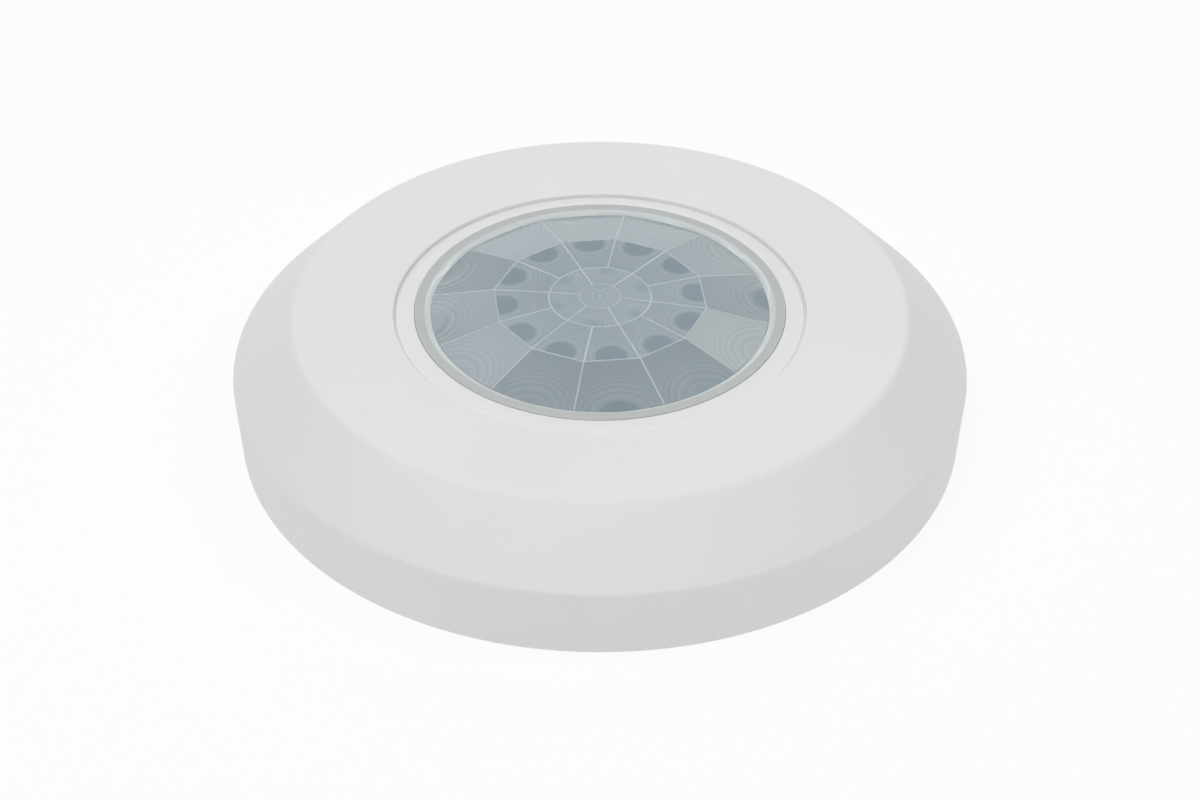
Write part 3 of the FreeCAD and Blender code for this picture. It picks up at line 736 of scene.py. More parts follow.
    def post(self, radius: float, low: float, high: float, bore: float = 0.0) -> Shape:
        """Round post, solid or with a blind bore from its lower end.

        Args:
            radius: The post's radius.
            low: Height of its free end.
            high: Height of its root.
            bore: Radius of the bore, or 0 for none.

        Returns:
            Points and faces.
        """
        end = high - self.bore_end
        middle = [(0, end, 0), (bore, end, 0), (bore, low, 0)] if bore else [(0, low, 0)]
        section = rounded([*middle, (radius, low, self.post_edge), (radius, high, 0), (0, high, 0)],
                          steps=4, closed=False)
        return lathe(section[:, 0], section[:, 1], even_turn(40), poles=True)

    def build(self) -> None:
        """Builds the shell and its inner features, and dresses them."""
        shell = new_piece("cover_shell", *self.shell())
        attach(shell, "cover")
        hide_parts("front_cover")
        dress(shell, Stuff.WHITE_ABS.material())
        inside = new_piece("cover_inner_ribs", *joined(self.inner_features()), smooth=False)
        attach(inside, "cover")
        dress(inside, Stuff.INNER_ABS.material())
        LOG.info("cover: %d faces", len(shell.data.polygons) + len(inside.data.polygons))


# ------------------------------------------------------------------------------------------
# Lens and its ring
# ------------------------------------------------------------------------------------------
@dataclass
class LensRing:
    """White ring behind the fine round gap, a little below the face; its flange turns under the cover.

    Sizes are millimetres.
    """

    lip: float = 1.0
    crown: float = 0.5
    width: float = 2.25
    flange_reach: float = 2.2
    groove_depth: float = 0.06
    groove_width: float = 0.21
    pocket_gap: float = 0.08
    cover_wall: float = 2.0
    outer_edge: float = 0.22
    columns: int = 360

    def build(self) -> None:
        """Revolves the ring's section and dresses it."""
        low, high = node_box("lens_ring")
        flange = (high[0] - low[0]) / 2
        lens_flange = node_box("fresnel_lens")[1][0] + self.pocket_gap
        under = node_box("front_cover")[1][2] - self.cover_wall - self.pocket_gap
        outer = flange - self.flange_reach
        opening = outer - self.width
        waist = outer + self.groove_width
        top, bottom = high[2] - self.crown, low[2]
        section = rounded([
            (opening, high[2], 0.1), (opening, top - self.lip, 0.05), (lens_flange, top - self.lip, 0.05),
            (lens_flange, bottom, 0.1), (flange, bottom, 0.2), (flange, under, 0.2),
            (waist, under, 0.05), (waist, top - self.groove_depth, 0.03),
            (outer, top - self.groove_depth, 0.03), (outer, top, self.outer_edge),
        ], steps=6)[::-1]
        made = lathe(section[:, 0], section[:, 1], even_turn(self.columns), poles=False)
        ring = new_piece("lens_ring_face", *made)
        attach(ring, "lens")
        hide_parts("lens_ring")
        dress(ring, Stuff.WHITE_ABS.material())
        LOG.info("lens ring: opening %.2f mm", opening)


# tones that mark the lens's zones for its finish; the facets' own lie between -1 and 1.2
UNDER_TONE, RIM_TONE, BAND_TONE = 0.5, 2.0, 3.0
BAND_ROWS = 3


@dataclass
class FresnelLens:
    """Translucent polyethylene lens of 31 facets: 12 outer, 12 middle, 6 inner and a centre disc.

    Every facet is its own small Fresnel lens: rings round an optical centre, n-th ring at first * sqrt(n).
    Sizes are millimetres.
    """

    facets: int = 12
    first_seam: float = math.radians(-8.5)
    disc: float = 2.5
    inner: float = 6.15
    polygon: float = 12.9
    flange_reach: float = 1.15
    seat: float = 0.06
    bead_width: float = 1.1
    band_width: float = 0.8
    thickness: float = 0.6
    ring_crown: float = 0.5
    ring_lip: float = 1.0
    pocket_gap: float = 0.08
    bead_rise: float = 0.6
    field_rise: float = 0.15
    outer_rise: float = 1.7
    middle_rise: float = 0.3
    inner_rise: float = 0.13
    # the rings' relief, which fades from ring 2 to ring 6 and stays off the seams
    relief: float = 0.03
    relief_fade: tuple[float, float] = (1.6, 4.0)
    calm_width: float = 0.3
    seam_width: float = 0.07
    seam_rise: float = 0.03
    # how much fainter the line round the disc is, as a distance
    disc_seam_gap: float = 0.05
    gate_rise: float = -0.03
    gate_radius: float = 0.2
    # rows in the disc, the inner, the middle and the outer zone, and how closely they gather at borders
    rows: tuple[int, int, int, int] = (10, 22, 42, 54)
    row_gather: float = 0.6
    sector_columns: int = 42
    column_gather: float = 0.8
    under_rows: int = 14
    under_gather: float = 1.1
    # how far the facets' last rows stay off the rim's first one
    row_gap: float = 0.02
    # radius of the first ring of the outer, the middle and the inner facets and the disc
    first_rings: tuple[float, float, float, float] = (2.65, 1.85, 1.2, 1.2)
    # optical centres: past the field's edge, inside the 12-sided line, inside the inner zone's border
    outer_centre: float = 1.0
    middle_centre: float = -0.7
    inner_centre: float = -0.5
    # how strongly the dark spots show
    dark_facets: tuple[int, int] = (0, 9)
    dark_spot: float = 0.75
    outer_spot: float = 0.15
    middle_spot: float = 0.85
    inner_spot: float = 0.3
    # brightness of the facets: the outer ones carry painted shade and a painted reflection by the way they
    # face, lighter at the back and darker at the front
    outer_painted_shade: tuple[float, float] = (0.4, -0.3)
    middle_tone: float = 0.6
    inner_tone: float = 1.05
    tone_scatter: float = 0.1
    seed: int = 31

    def __post_init__(self) -> None:
        """Reads the lens's seat from the frame."""
        low, high = node_box("fresnel_lens")
        ring_top = node_box("lens_ring")[1][2] - self.ring_crown
        self.flange = high[0]
        self.flange_low = low[2]
        self.top = ring_top + self.bead_rise
        self.edge = self.flange - self.flange_reach + self.seat
        self.field = self.edge - self.bead_width - self.band_width - self.seat
        self.base = ring_top + self.field_rise
        self.flange_top = ring_top - self.ring_lip - self.pocket_gap
        self.sector = 2 * math.pi / self.facets
        self.wide = math.cos(self.sector / 2)

    def turn(self) -> np.ndarray:
        """Column angles: each 30 degree sector is sampled more closely beside its seams.

        Returns:
            Array of angles in radians.
        """
        share = np.arange(self.sector_columns) / self.sector_columns
        bent = share - self.column_gather * np.sin(2 * math.pi * share) / (2 * math.pi)
        return (self.first_seam + (np.arange(self.facets)[:, None] + bent[None, :]) * self.sector).ravel()

    def within(self, turn: np.ndarray) -> np.ndarray:
        """Angle from the middle line of the sector that each angle lies in."""
        return (turn - self.first_seam) % self.sector - self.sector / 2

    def polygon_radius(self, turn: np.ndarray) -> np.ndarray:
        """Distance from the axis to the 12-sided line between outer and middle facets."""
        return self.polygon * self.wide / np.cos(self.within(turn))

    def radii(self, turn: np.ndarray) -> np.ndarray:
        """Rows of the facet field: disc, inner, middle and outer zones, spaced closely at their borders.

        Args:
            turn: The columns' angles.

        Returns:
            Array (rows, columns) of radii.
        """
        borders = [np.zeros_like(turn), np.full_like(turn, self.disc), np.full_like(turn, self.inner),
                   self.polygon_radius(turn), np.full_like(turn, self.field)]
        rows = [borders[0][None, :]]
        for count, start, end in zip(self.rows, borders, borders[1:]):
            share = np.linspace(0, 1, count + 1)[1:]
            share = share - self.row_gather * np.sin(2 * math.pi * share) / (2 * math.pi)
            rows.append(start + (end - start) * share[:, None])
        return np.vstack(rows)

    def field_height(self, radius: np.ndarray, turn: np.ndarray) -> np.ndarray:
        """Flat facets: the height falls with the distance along each facet's own middle line.

        Args:
            radius: Distances from the axis.
            turn: Angles, in an array like radius.

        Returns:
            Heights, without rings and seams.
        """
        along = radius * np.cos(self.within(turn))
        near, far = self.inner * self.wide, self.polygon * self.wide
        top = self.base + self.outer_rise
        outer = top - (along - far) * self.outer_rise / (self.field - far)
        middle = top + self.middle_rise * (1 - (along - near) / (far - near))
        share = (radius - self.disc) / (self.inner - self.disc)
        inner = top + self.middle_rise + self.inner_rise * (1 - share)
        height = np.where(along > far, outer, middle)
        height = np.where(radius < self.inner, inner, height)
        return np.where(radius < self.disc, top + self.middle_rise + self.inner_rise, height)

    def lenslets(self, radius: np.ndarray, turn: np.ndarray) -> tuple[np.ndarray, np.ndarray, np.ndarray]:
        """Finds each point's facet and the optical centre of its rings, on the facet's middle line.

        Args:
            radius: Distances from the axis.
            turn: Angles, in an array like radius.

        Returns:
            Distance to the optical centre, radius of the first ring, and number of the facet.
        """
        number = np.floor((turn - self.first_seam) / self.sector) % self.facets
        inner_number = np.floor(number / 2)
        middle_angle = self.first_seam + (number + 0.5) * self.sector
        inner_angle = self.first_seam + (inner_number + 0.5) * 2 * self.sector
        inside = [radius < self.disc, radius < self.inner, radius < self.polygon_radius(turn)]
        zone = np.select(inside, [3, 2, 1], 0)
        centres = (self.field + self.outer_centre, self.polygon * self.wide + self.middle_centre,
                   self.inner + self.inner_centre, 0.0)
        centre = np.choose(zone, centres)
        angle = np.where(zone == 2, inner_angle, middle_angle)
        x = radius * np.cos(turn) - centre * np.cos(angle)
        y = radius * np.sin(turn) - centre * np.sin(angle)
        facet = np.choose(zone, (number, self.facets + number, 2 * self.facets + inner_number,
                                 2 * self.facets + self.facets // 2))
        return np.hypot(x, y), np.choose(zone, self.first_rings), facet

    def seam_distance(self, radius: np.ndarray, turn: np.ndarray) -> np.ndarray:
        """Distance to the nearest line between two facets.

        Args:
            radius: Distances from the axis.
            turn: Angles, in an array like radius.

        Returns:
            Distances in millimetres.
        """
        half = self.sector / 2
        narrow = (turn - self.first_seam + half) % self.sector - half
        wide = (turn - self.first_seam + self.sector) % (2 * self.sector) - self.sector
        radial = np.abs(radius * np.sin(np.where(radius < self.inner, wide, narrow)))
        radial = np.where(radius < self.disc, math.inf, radial)
        borders = [np.abs(radius - self.polygon_radius(turn)), np.abs(radius - self.inner),
                   np.abs(radius - self.disc) + self.disc_seam_gap]
        return np.minimum(radial, np.minimum.reduce(borders))

    def facet_looks(self) -> tuple[np.ndarray, np.ndarray]:
        """How strongly each facet's dark spot shows, and how bright the facet is.

        The outer facets' brightness is a sin(angle) + b: a painted reflection lightens the back ones, and
        painted shade darkens the front ones.

        Returns:
            Two arrays (31,) by facet number.
        """
        inner = self.facets // 2
        outer = np.where(np.isin(np.arange(self.facets), self.dark_facets), self.dark_spot, self.outer_spot)
        strengths = np.concatenate([outer, [self.middle_spot] * self.facets,
                                    [self.inner_spot] * inner, [0.0]])
        outward = self.first_seam + (np.arange(self.facets) + 0.5) * 2 * math.pi / self.facets
        # painted shade: the outer facets' brightness rises towards the back and falls towards the front
        swing, level = self.outer_painted_shade
        tones = np.concatenate([swing * np.sin(outward) + level, [self.middle_tone] * self.facets,
                                [self.inner_tone] * (inner + 1)])
        scatter = np.random.default_rng(self.seed).uniform(-self.tone_scatter, self.tone_scatter, tones.size)
        return strengths, tones + scatter

    def build(self) -> None:
        """Builds the closed lens: faceted top, sloping band, raised rim, flange and smooth underside.

        A ring's relief is a sawtooth, relief * (ring number - its whole part), which fades over the closer
        outer rings, where the finish draws it. Seams are ridges, seam_rise * exp(-(distance / width)^2),
        and the gate in the middle is a small flat dip in them.
        """
        turn = self.turn()
        radius = self.radii(turn)
        turns = np.broadcast_to(turn, radius.shape)
        distance, first, facet = self.lenslets(radius, turns)
        seam_distance = self.seam_distance(radius, turns)
        gate = np.exp(-(radius / self.gate_radius) ** 4)
        seam = np.maximum(np.exp(-(seam_distance / self.seam_width) ** 2), gate)
        ring = (distance / first) ** 2
        start, reach = self.relief_fade
        saw = np.where(ring < 1, 0.0, ring - np.floor(ring)) * np.clip(start - ring / reach, 0, 1)
        calm = np.clip(seam_distance / self.calm_width, 0, 1)
        height = self.field_height(radius, turns) + self.relief * saw * calm + self.seam_rise * seam
        height += self.gate_rise * gate
        rim = self.rim()
        share = np.linspace(1, 0, self.under_rows)[:, None] ** self.under_gather
        under_radius = share * np.full(turn.size, self.field - self.row_gap)[None, :]
        under = self.field_height(under_radius, np.broadcast_to(turn, under_radius.shape)) - self.thickness
        rim_radius = np.repeat(rim[:, :1], turn.size, axis=1)
        rim_height = np.repeat(rim[:, 1:], turn.size, axis=1)
        lens = new_piece("fresnel_lens_moulding", *lathe(
            np.vstack([radius, rim_radius, under_radius])[::-1],
            np.vstack([height, rim_height, under])[::-1], turn, poles=True))
        strengths, tones = self.facet_looks()
        facet = facet.astype(int)
        self.mark(lens, np.stack([ring, seam, strengths[facet], tones[facet]], axis=-1), len(rim), len(under))
        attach(lens, "lens")
        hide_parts("fresnel_lens")
        dress(lens, LensFinish().build())
        LOG.info("lens: %d faces, top at %.2f mm", len(lens.data.polygons), float(height.max()))

    def rim(self) -> np.ndarray:
        """Section from the band's top round the raised rim and the flange to the underside.

        Returns:
            Array (n, 2) of radius and height.
        """
        wall = self.edge - self.bead_width - self.seat
        return rounded([
            (self.field + self.row_gap, self.base, 0), (wall, self.top, 0.3), (self.edge, self.top, 0.14),
            (self.edge, self.flange_top, 0.05), (self.flange, self.flange_top, 0.1),
            (self.flange, self.flange_low, 0.1), (self.field, self.flange_low, 0.1),
            (self.field, self.flange_low + 0.2, 0),
        ], steps=7, closed=False)

    @staticmethod
    def mark(lens: bpy.types.Object, values: np.ndarray, rim_rows: int, under_rows: int) -> None:
        """Stores what the finish reads at each point.

        Args:
            lens: The lens piece.
            values: Array (rows, columns, 4) over the facets: ring number, seam, spot strength and tone.
            rim_rows: Number of rows of the rim; the first BAND_ROWS are the band's.
            under_rows: Number of rows of the underside, whose tone is a facet's middle one.
        """
        columns = values.shape[1]
        rim = np.zeros((rim_rows, columns, 4))
        rim[..., 3] = RIM_TONE
        rim[:BAND_ROWS, :, 3] = BAND_TONE
        under = np.zeros((under_rows, columns, 4))
        under[..., 3] = UNDER_TONE
        rows = np.vstack([values, rim, under])[::-1]
        flat = np.vstack([rows[1:-1].reshape(-1, 4), rows[0, :1], rows[-1, :1]])
        for index, name in enumerate(("ring", "seam", "spot", "tone")):
            attribute = lens.data.attributes.new(name, "FLOAT", "POINT")
            attribute.data.foreach_set("value", flat[:, index].astype(np.float32))


@dataclass(frozen=True)
class LensFinish:
    """Translucent high-density polyethylene, injection moulded: milky, blue-grey over the dark inside.

    Each small lens is darker and smooth in its middle, where more of the inside shows. The rings round it
    are a fine sawtooth, closer outwards, and the seams scatter light. Lengths are millimetres.
    """

    name: str = "translucent_polyethylene"
    light: str = "A9B5BA"
    dark: str = "9DAAB1"
    spot_colour: str = "8A9AA3"
    seam_colour: str = "C6D0D2"
    rim_outer: str = "C1C6C5"
    band: str = "D2D8D9"
    groove_relief: float = 0.02
    # share of the rings' contrast that is left at ring 9 and beyond
    far_contrast: float = 0.35
    far_ring: float = 9.0
    # half the width of the dark spot's soft edge, in ring numbers
    spot_edge: float = 0.07
    tone_range: tuple[float, float] = (-1.0, 2.0)
    brightness: tuple[float, float] = (0.76, 1.12)
    roughness: tuple[float, float] = (0.12, 0.2)
    cloud: float = 7.0
    ior: float = 1.54
    scatter: float = 0.2
    scatter_reach: float = 0.5

    def build(self) -> bpy.types.Material:
        """Makes the material from the lens's own point attributes.

        Ring grooves, dark spot, tone with flow clouds, seams, rim and band follow each other.

        Returns:
            The material.
        """
        material = bpy.data.materials.new(self.name)
        material.use_nodes = True
        tree = material.node_tree
        shader = tree.nodes["Principled BSDF"]
        ring, seam, spot, tone = (
            add_node(tree, "ShaderNodeAttribute", {"attribute_name": name}).outputs["Fac"]
            for name in ("ring", "seam", "spot", "tone"))
        place = add_node(tree, "ShaderNodeTexCoord").outputs["Object"]
        cloud = add_node(tree, "ShaderNodeTexNoise",
                         links={"Vector": place, "Scale": 1 / (self.cloud * MM), "Detail": 2.0})
        cloud = cloud.outputs["Fac"]
        saw = add_node(tree, "ShaderNodeMath", {"operation": "FRACT"}, {0: ring}).outputs[0]
        fade = self.spread(tree, ring, (1.0, self.far_ring), (1.0, self.far_contrast))
        groove = add_node(tree, "ShaderNodeMath", {"operation": "MULTIPLY"}, {0: saw, 1: fade}).outputs[0]
        colour = ramp(tree, groove, [(0.0, linear(self.dark)), (0.9, linear(self.light))])
        middle = self.spread(tree, ring, (1 - self.spot_edge, 1 + self.spot_edge), (1.0, 0.0))
        spotted = add_node(tree, "ShaderNodeMath", {"operation": "MULTIPLY"}, {0: middle, 1: spot}).outputs[0]
        colour = self.mixed(tree, spotted, colour, self.spot_colour)
        # the tone carries each facet's brightness, with painted shade and a painted reflection on the outer
        # facets
        shade = add_node(tree, "ShaderNodeMath", {"operation": "ADD"}, {0: tone, 1: cloud}).outputs[0]
        value = self.spread(tree, shade, self.tone_range, self.brightness)
        colour = add_node(tree, "ShaderNodeHueSaturation", links={"Color": colour, "Value": value}).outputs[0]
        colour = self.mixed(tree, seam, colour, self.seam_colour)
        rim = self.spread(tree, tone, (RIM_TONE - 0.8, RIM_TONE - 0.2), (0.0, 1.0))
        colour = self.mixed(tree, rim, colour, self.rim_outer)
        band = self.spread(tree, tone, (BAND_TONE - 0.8, BAND_TONE - 0.2), (0.0, 1.0))
        tree.links.new(self.mixed(tree, band, colour, self.band), shader.inputs["Base Color"])
        rough = self.spread(tree, cloud, (0.0, 1.0), self.roughness)
        tree.links.new(rough, shader.inputs["Roughness"])
        bump = add_node(tree, "ShaderNodeBump",
                        links={"Height": groove, "Strength": 1.0, "Distance": self.groove_relief * MM})
        tree.links.new(bump.outputs[0], shader.inputs["Normal"])
        shader.inputs["IOR"].default_value = self.ior
        shader.inputs["Subsurface Weight"].default_value = self.scatter
        shader.inputs["Subsurface Scale"].default_value = self.scatter_reach * MM
        return material

    @staticmethod
    def spread(tree: bpy.types.NodeTree, value: bpy.types.NodeSocket, source: tuple[float, float],
               result: tuple[float, float]) -> bpy.types.NodeSocket:
        """Value carried from one span to another, and held at its ends.

        Args:
            tree: The material's node tree.
            value: The socket to carry over.
            source: Span of the value.
            result: Span of the result.

        Returns:
            The result's socket.
        """
        return add_node(tree, "ShaderNodeMapRange",
                        links={"Value": value, "From Min": source[0], "From Max": source[1],
                               "To Min": result[0], "To Max": result[1]}).outputs[0]

    @staticmethod
    def mixed(tree: bpy.types.NodeTree, factor: bpy.types.NodeSocket, colour: bpy.types.NodeSocket,
              other: str) -> bpy.types.NodeSocket:
        """Colour mixed towards a hex colour by a factor."""
        return add_node(tree, "ShaderNodeMix", {"data_type": "RGBA"},
                        {0: factor, 6: colour, 7: linear(other)}).outputs[2]


# ------------------------------------------------------------------------------------------
# Board
# ------------------------------------------------------------------------------------------
@dataclass(frozen=True)
class ChipPackage:
    """Moulded chip with gull-wing leads along its two long sides. Sizes are millimetres."""

    name: str
    node: str
    size: tuple[float, float, float]
    leads: int
    pitch: float
    stuff: Stuff
    slot: str
    mark: Stuff
    lead_width: float = 0.45
    lead_thickness: float = 0.16
    lead_reach: float = 1.1
    # from the lead's tip to the middle of its foot
    foot_middle: float = 0.3
    stand_off: float = 0.15
    solder: float = 0.03
    draft: float = 0.2
    parting: float = 0.03
    corner_cut: float = 0.08
    mark_radius: float = 0.33
    mark_inset: float = 0.75

    def place(self) -> tuple[float, float, float]:
        """Middle of the package and the board's top, from the CAD node."""
        low, high = node_box(self.node)
        return (low[0] + high[0]) / 2, (low[1] + high[1]) / 2, node_box("circuit_board")[1][2]

    def lead_rows(self) -> np.ndarray:
        """Places of the leads along the package, from its middle."""
        return (np.arange(self.leads) - (self.leads - 1) / 2) * self.pitch

    def lead_spots(self) -> list[tuple[float, float]]:
        """Places of the leads' feet on the board.

        Returns:
            Pairs (x, y).
        """
        x, y, _ = self.place()
        reach = self.size[1] / 2 + self.lead_reach - self.foot_middle
        return [(x + a, y + side * reach) for side in (-1, 1) for a in self.lead_rows()]

    def body(self, board: float) -> Shape:
        """Body with draft above and below its parting line, round the origin.

        Args:
            board: Height of the board's top.

        Returns:
            Points and faces.
        """
        width, depth, height = self.size
        middle, top = board + height * 0.5, board + height
        levels = ((self.draft, board + self.stand_off), (0.0, middle - self.parting),
                  (0.0, middle + self.parting), (self.draft * 0.8, top - 0.12), (self.draft * 2, top))
        return stacked([(width - inset, depth - inset, z) for inset, z in levels], self.corner_cut)

    def lead(self, board: float) -> Shape:
        """One lead on the back side: a strip along a path that bends down to the board and out.

        Args:
            board: Height of the board's top.

        Returns:
            Points and faces.
        """
        edge, middle = self.size[1] / 2, board + self.size[2] * 0.5
        foot = board + self.solder + self.lead_thickness / 2
        bend = rounded([(edge - 0.1, middle, 0), (edge + 0.3, middle, 0.12), (edge + 0.45, foot, 0.12),
                        (edge + self.lead_reach, foot, 0)], steps=4, closed=False)
        points, faces = ribbon(bend, self.lead_thickness, -self.lead_width / 2, self.lead_width / 2)
        return points[:, [2, 0, 1]], faces

    def build(self) -> None:
        """Makes the body, the bent leads and the pin-one mark."""
        x, y, board = self.place()
        width, depth, height = self.size
        piece = new_piece(f"{self.name}_body", *moved(self.body(board), x, y), smooth=False)
        lead = self.lead(board)
        leads = [moved(moved(lead, x=along), x, y, turn=turn)
                 for along in self.lead_rows() for turn in (0.0, math.pi)]
        legs = new_piece(f"{self.name}_leads", *joined(leads))
        low, high = board + height - 0.02, board + height + 0.008
        dot = lathe(np.array([0, self.mark_radius, self.mark_radius, 0]), np.array([low, low, high, high]),
                    even_turn(20), True)
        dot = new_piece(f"{self.name}_pin_one_mark",
                        *moved(dot, x - width / 2 + self.mark_inset, y - depth / 2 + self.mark_inset))
        for made, material, slot in ((piece, self.stuff, self.slot), (legs, Stuff.TIN, "tinned_metal"),
                                     (dot, self.mark, self.slot)):
            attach(made, "base")
            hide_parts(self.node)
            dress(made, material.material())
        LOG.info("%s: %d leads", self.name, 2 * self.leads)


@dataclass
class SmallParts:
    """Chip resistors, chip capacitors, the surge diode, the aluminium capacitors and the indicator.

    Sizes are millimetres. A can is given as radius, height and place.
    """

    resistor: tuple[float, float, float] = (2.0, 1.25, 0.55)
    ceramic: tuple[float, float, float] = (2.0, 1.25, 0.95)
    diode: tuple[float, float, float] = (4.4, 3.6, 2.3)
    end_share: float = 0.2
    longest_end: float = 0.38
    cans: tuple[tuple[float, float, float, float], ...] = ((3.15, 5.4, 17.8, -19.2), (2.5, 5.2, -17.6, -19.4))
    can_seat: float = 0.8
    can_groove: float = 1.6
    mark_arc: tuple[float, float] = (125.0, 235.0)
    mark_inset: float = 0.55
    indicator: tuple[float, float] = (0.0, -9.4)
    indicator_size: tuple[float, float, float] = (3.2, 2.6, 0.9)
    dome_radius: float = 1.05
    dome_height: float = 1.9
    lift: float = 0.02

    def __post_init__(self) -> None:
        """Lays out the rows of small parts and reads the board's top."""
        self.board = node_box("circuit_board")[1][2]
        quarter = math.pi / 2
        self.resistor_spots = [(6.2 + 2.2 * i, -6.5, quarter) for i in range(5)]
        self.resistor_spots += [(-9.5 - 2.2 * i, 3.0, quarter) for i in range(4)]
        self.resistor_spots += [(-4.0 + 2.6 * i, 19.0, 0.0) for i in range(4)]
        self.ceramic_spots = [(9.5, -13.2, 0.0), (12.8, -13.2, 0.0), (-6.5, -13.2, 0.0),
                              (9.0, 14.5, quarter), (17.5, 14.5, quarter), (-7.5, 8.5, quarter),
                              (7.8, 1.0, quarter), (-14.5, -3.0, 0.0)]
        self.diode_spot = (-12.5, -13.2, 0.0)

    def chips(self, name: str, node: str, size: tuple[float, float, float],
              spots: Sequence[tuple[float, float, float]], stuff: Stuff, slot: str) -> None:
        """Adds rectangular chips: a body and two tinned ends each, with solder fillets.

        Args:
            name: Start of the pieces' names.
            node: The CAD node they stand for.
            size: Length, width and height.
            spots: Place and turn of each.
            stuff: Finish of the bodies.
            slot: Not used.
        """
        length, width, height = size
        low = self.board + self.lift
        end = min(self.longest_end, length * self.end_share)
        body = box_piece((length - 0.1, width - 0.06, height - 0.04), (0, 0, low + height / 2), 0.04)
        fillet = stacked([(end + 0.75, width + 0.25, self.board), (end + 0.7, width + 0.2, low + 0.03),
                          (end + 0.04, width + 0.04, low + height * 0.55)], 0.1)
        ends, fillets = [], []
        for side in (-1, 1):
            out = side * (length - end) / 2
            ends.append(box_piece((end, width, height), (out, 0, low + height / 2), 0.06))
            fillets.append(moved(fillet, x=out))
        for part, kind, material, its_slot in ((joined([body]), "bodies", stuff, slot),
                                               (joined(ends), "ends", Stuff.TIN, "tinned_metal"),
                                               (joined(fillets), "solder", Stuff.SOLDER, "tinned_metal")):
            placed = joined([moved(part, x, y, turn=turn) for x, y, turn in spots])
            piece = new_piece(f"{name}_{kind}", *placed, smooth=False)
            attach(piece, "base")
            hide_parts(node)
            dress(piece, material.material())
        LOG.info("%s: %d", name, len(spots))

    def can(self, radius: float, height: float) -> Shape:
        """Drawn can with a groove round its foot, and a wall 0.1 mm inside the given radius.

        Args:
            radius: The capacitor's radius.
            height: Height of its top over the board.

        Returns:
            Points and faces.
        """
        low, wall = self.board, radius - 0.1
        seat, groove = low + self.can_seat, low + self.can_groove
        section = rounded([
            (0, seat, 0), (wall, seat, 0), (wall, groove - 0.3, 0.15), (wall - 0.3, groove, 0.2),
            (wall, groove + 0.3, 0.15), (wall, low + height, 0.4), (0, low + height, 0),
        ], closed=False)
        return lathe(section[:, 0], section[:, 1], even_turn(72), True)

    def electrolytics(self) -> None:
        """Adds the aluminium capacitors: black foot, grooved can and a dark mark on the negative side."""
        feet, cans, marks = [], [], []
        low = self.board
        turn = np.linspace(*np.radians(self.mark_arc), 25)
        for radius, height, x, y in self.cans:
            wide = 2 * radius + 0.4
            feet.append(moved(stacked([(wide, wide, low + self.lift), (wide, wide, low + 0.75),
                                       (wide - 0.3, wide - 0.3, low + 0.9)], 0.7), x, y))
            cans.append(moved(self.can(radius, height), x, y))
            outline = (radius - self.mark_inset) * np.stack([np.cos(turn), np.sin(turn)], axis=-1)
            rows = [np.column_stack([outline, np.full(turn.size, low + height + z)]) for z in (-0.02, 0.01)]
            marks.append(moved(loft(np.array(rows)), x, y))
        for name, parts, stuff, slot in (("capacitor_feet", feet, Stuff.EPOXY, "black_plastic"),
                                         ("capacitor_cans", cans, Stuff.CAN_ALUMINIUM, "capacitor_aluminium"),
                                         ("capacitor_marks", marks, Stuff.EPOXY, "black_plastic")):
            piece = new_piece(name, *joined(parts), smooth=name == "capacitor_cans")
            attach(piece, "base")
            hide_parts("aluminium_capacitors")
            dress(piece, stuff.material())
        LOG.info("aluminium capacitors: %d", len(self.cans))

    def lamp(self) -> None:
        """Adds the indicator: white body and clear red dome."""
        x, y = self.indicator
        width, depth, height = self.indicator_size
        low, edge = self.board, self.board + height - 0.1
        body = stacked([(width, depth, low + self.lift), (width, depth, edge),
                        (width - 0.2, depth - 0.2, low + height)], 0.15)
        radius, top = self.dome_radius, low + self.dome_height
        section = rounded([(0, edge, 0), (radius, edge, 0), (radius, top, 0.85), (0, top, 0)],
                          steps=10, closed=False)
        dome = lathe(section[:, 0], section[:, 1], even_turn(48), True)
        for name, part, stuff, smooth in (("indicator_body", body, Stuff.RELAY, False),
                                          ("indicator_dome", dome, Stuff.RED_RESIN, True)):
            piece = new_piece(name, *moved(part, x, y), smooth=smooth)
            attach(piece, "base")
            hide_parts("alarm_indicator")
            dress(piece, stuff.material())
        LOG.info("indicator: white body and red dome")

    def build(self) -> None:
        """Adds every small part."""
        self.chips("resistor", "chip_resistors", self.resistor, self.resistor_spots, Stuff.RESISTOR,
                   "resistor_ceramic")
        self.chips("ceramic", "chip_capacitors", self.ceramic, self.ceramic_spots, Stuff.CERAMIC,
                   "capacitor_ceramic")
        self.chips("diode", "surge_diode", self.diode, [self.diode_spot], Stuff.EPOXY, "black_plastic")
        self.electrolytics()
        self.lamp()


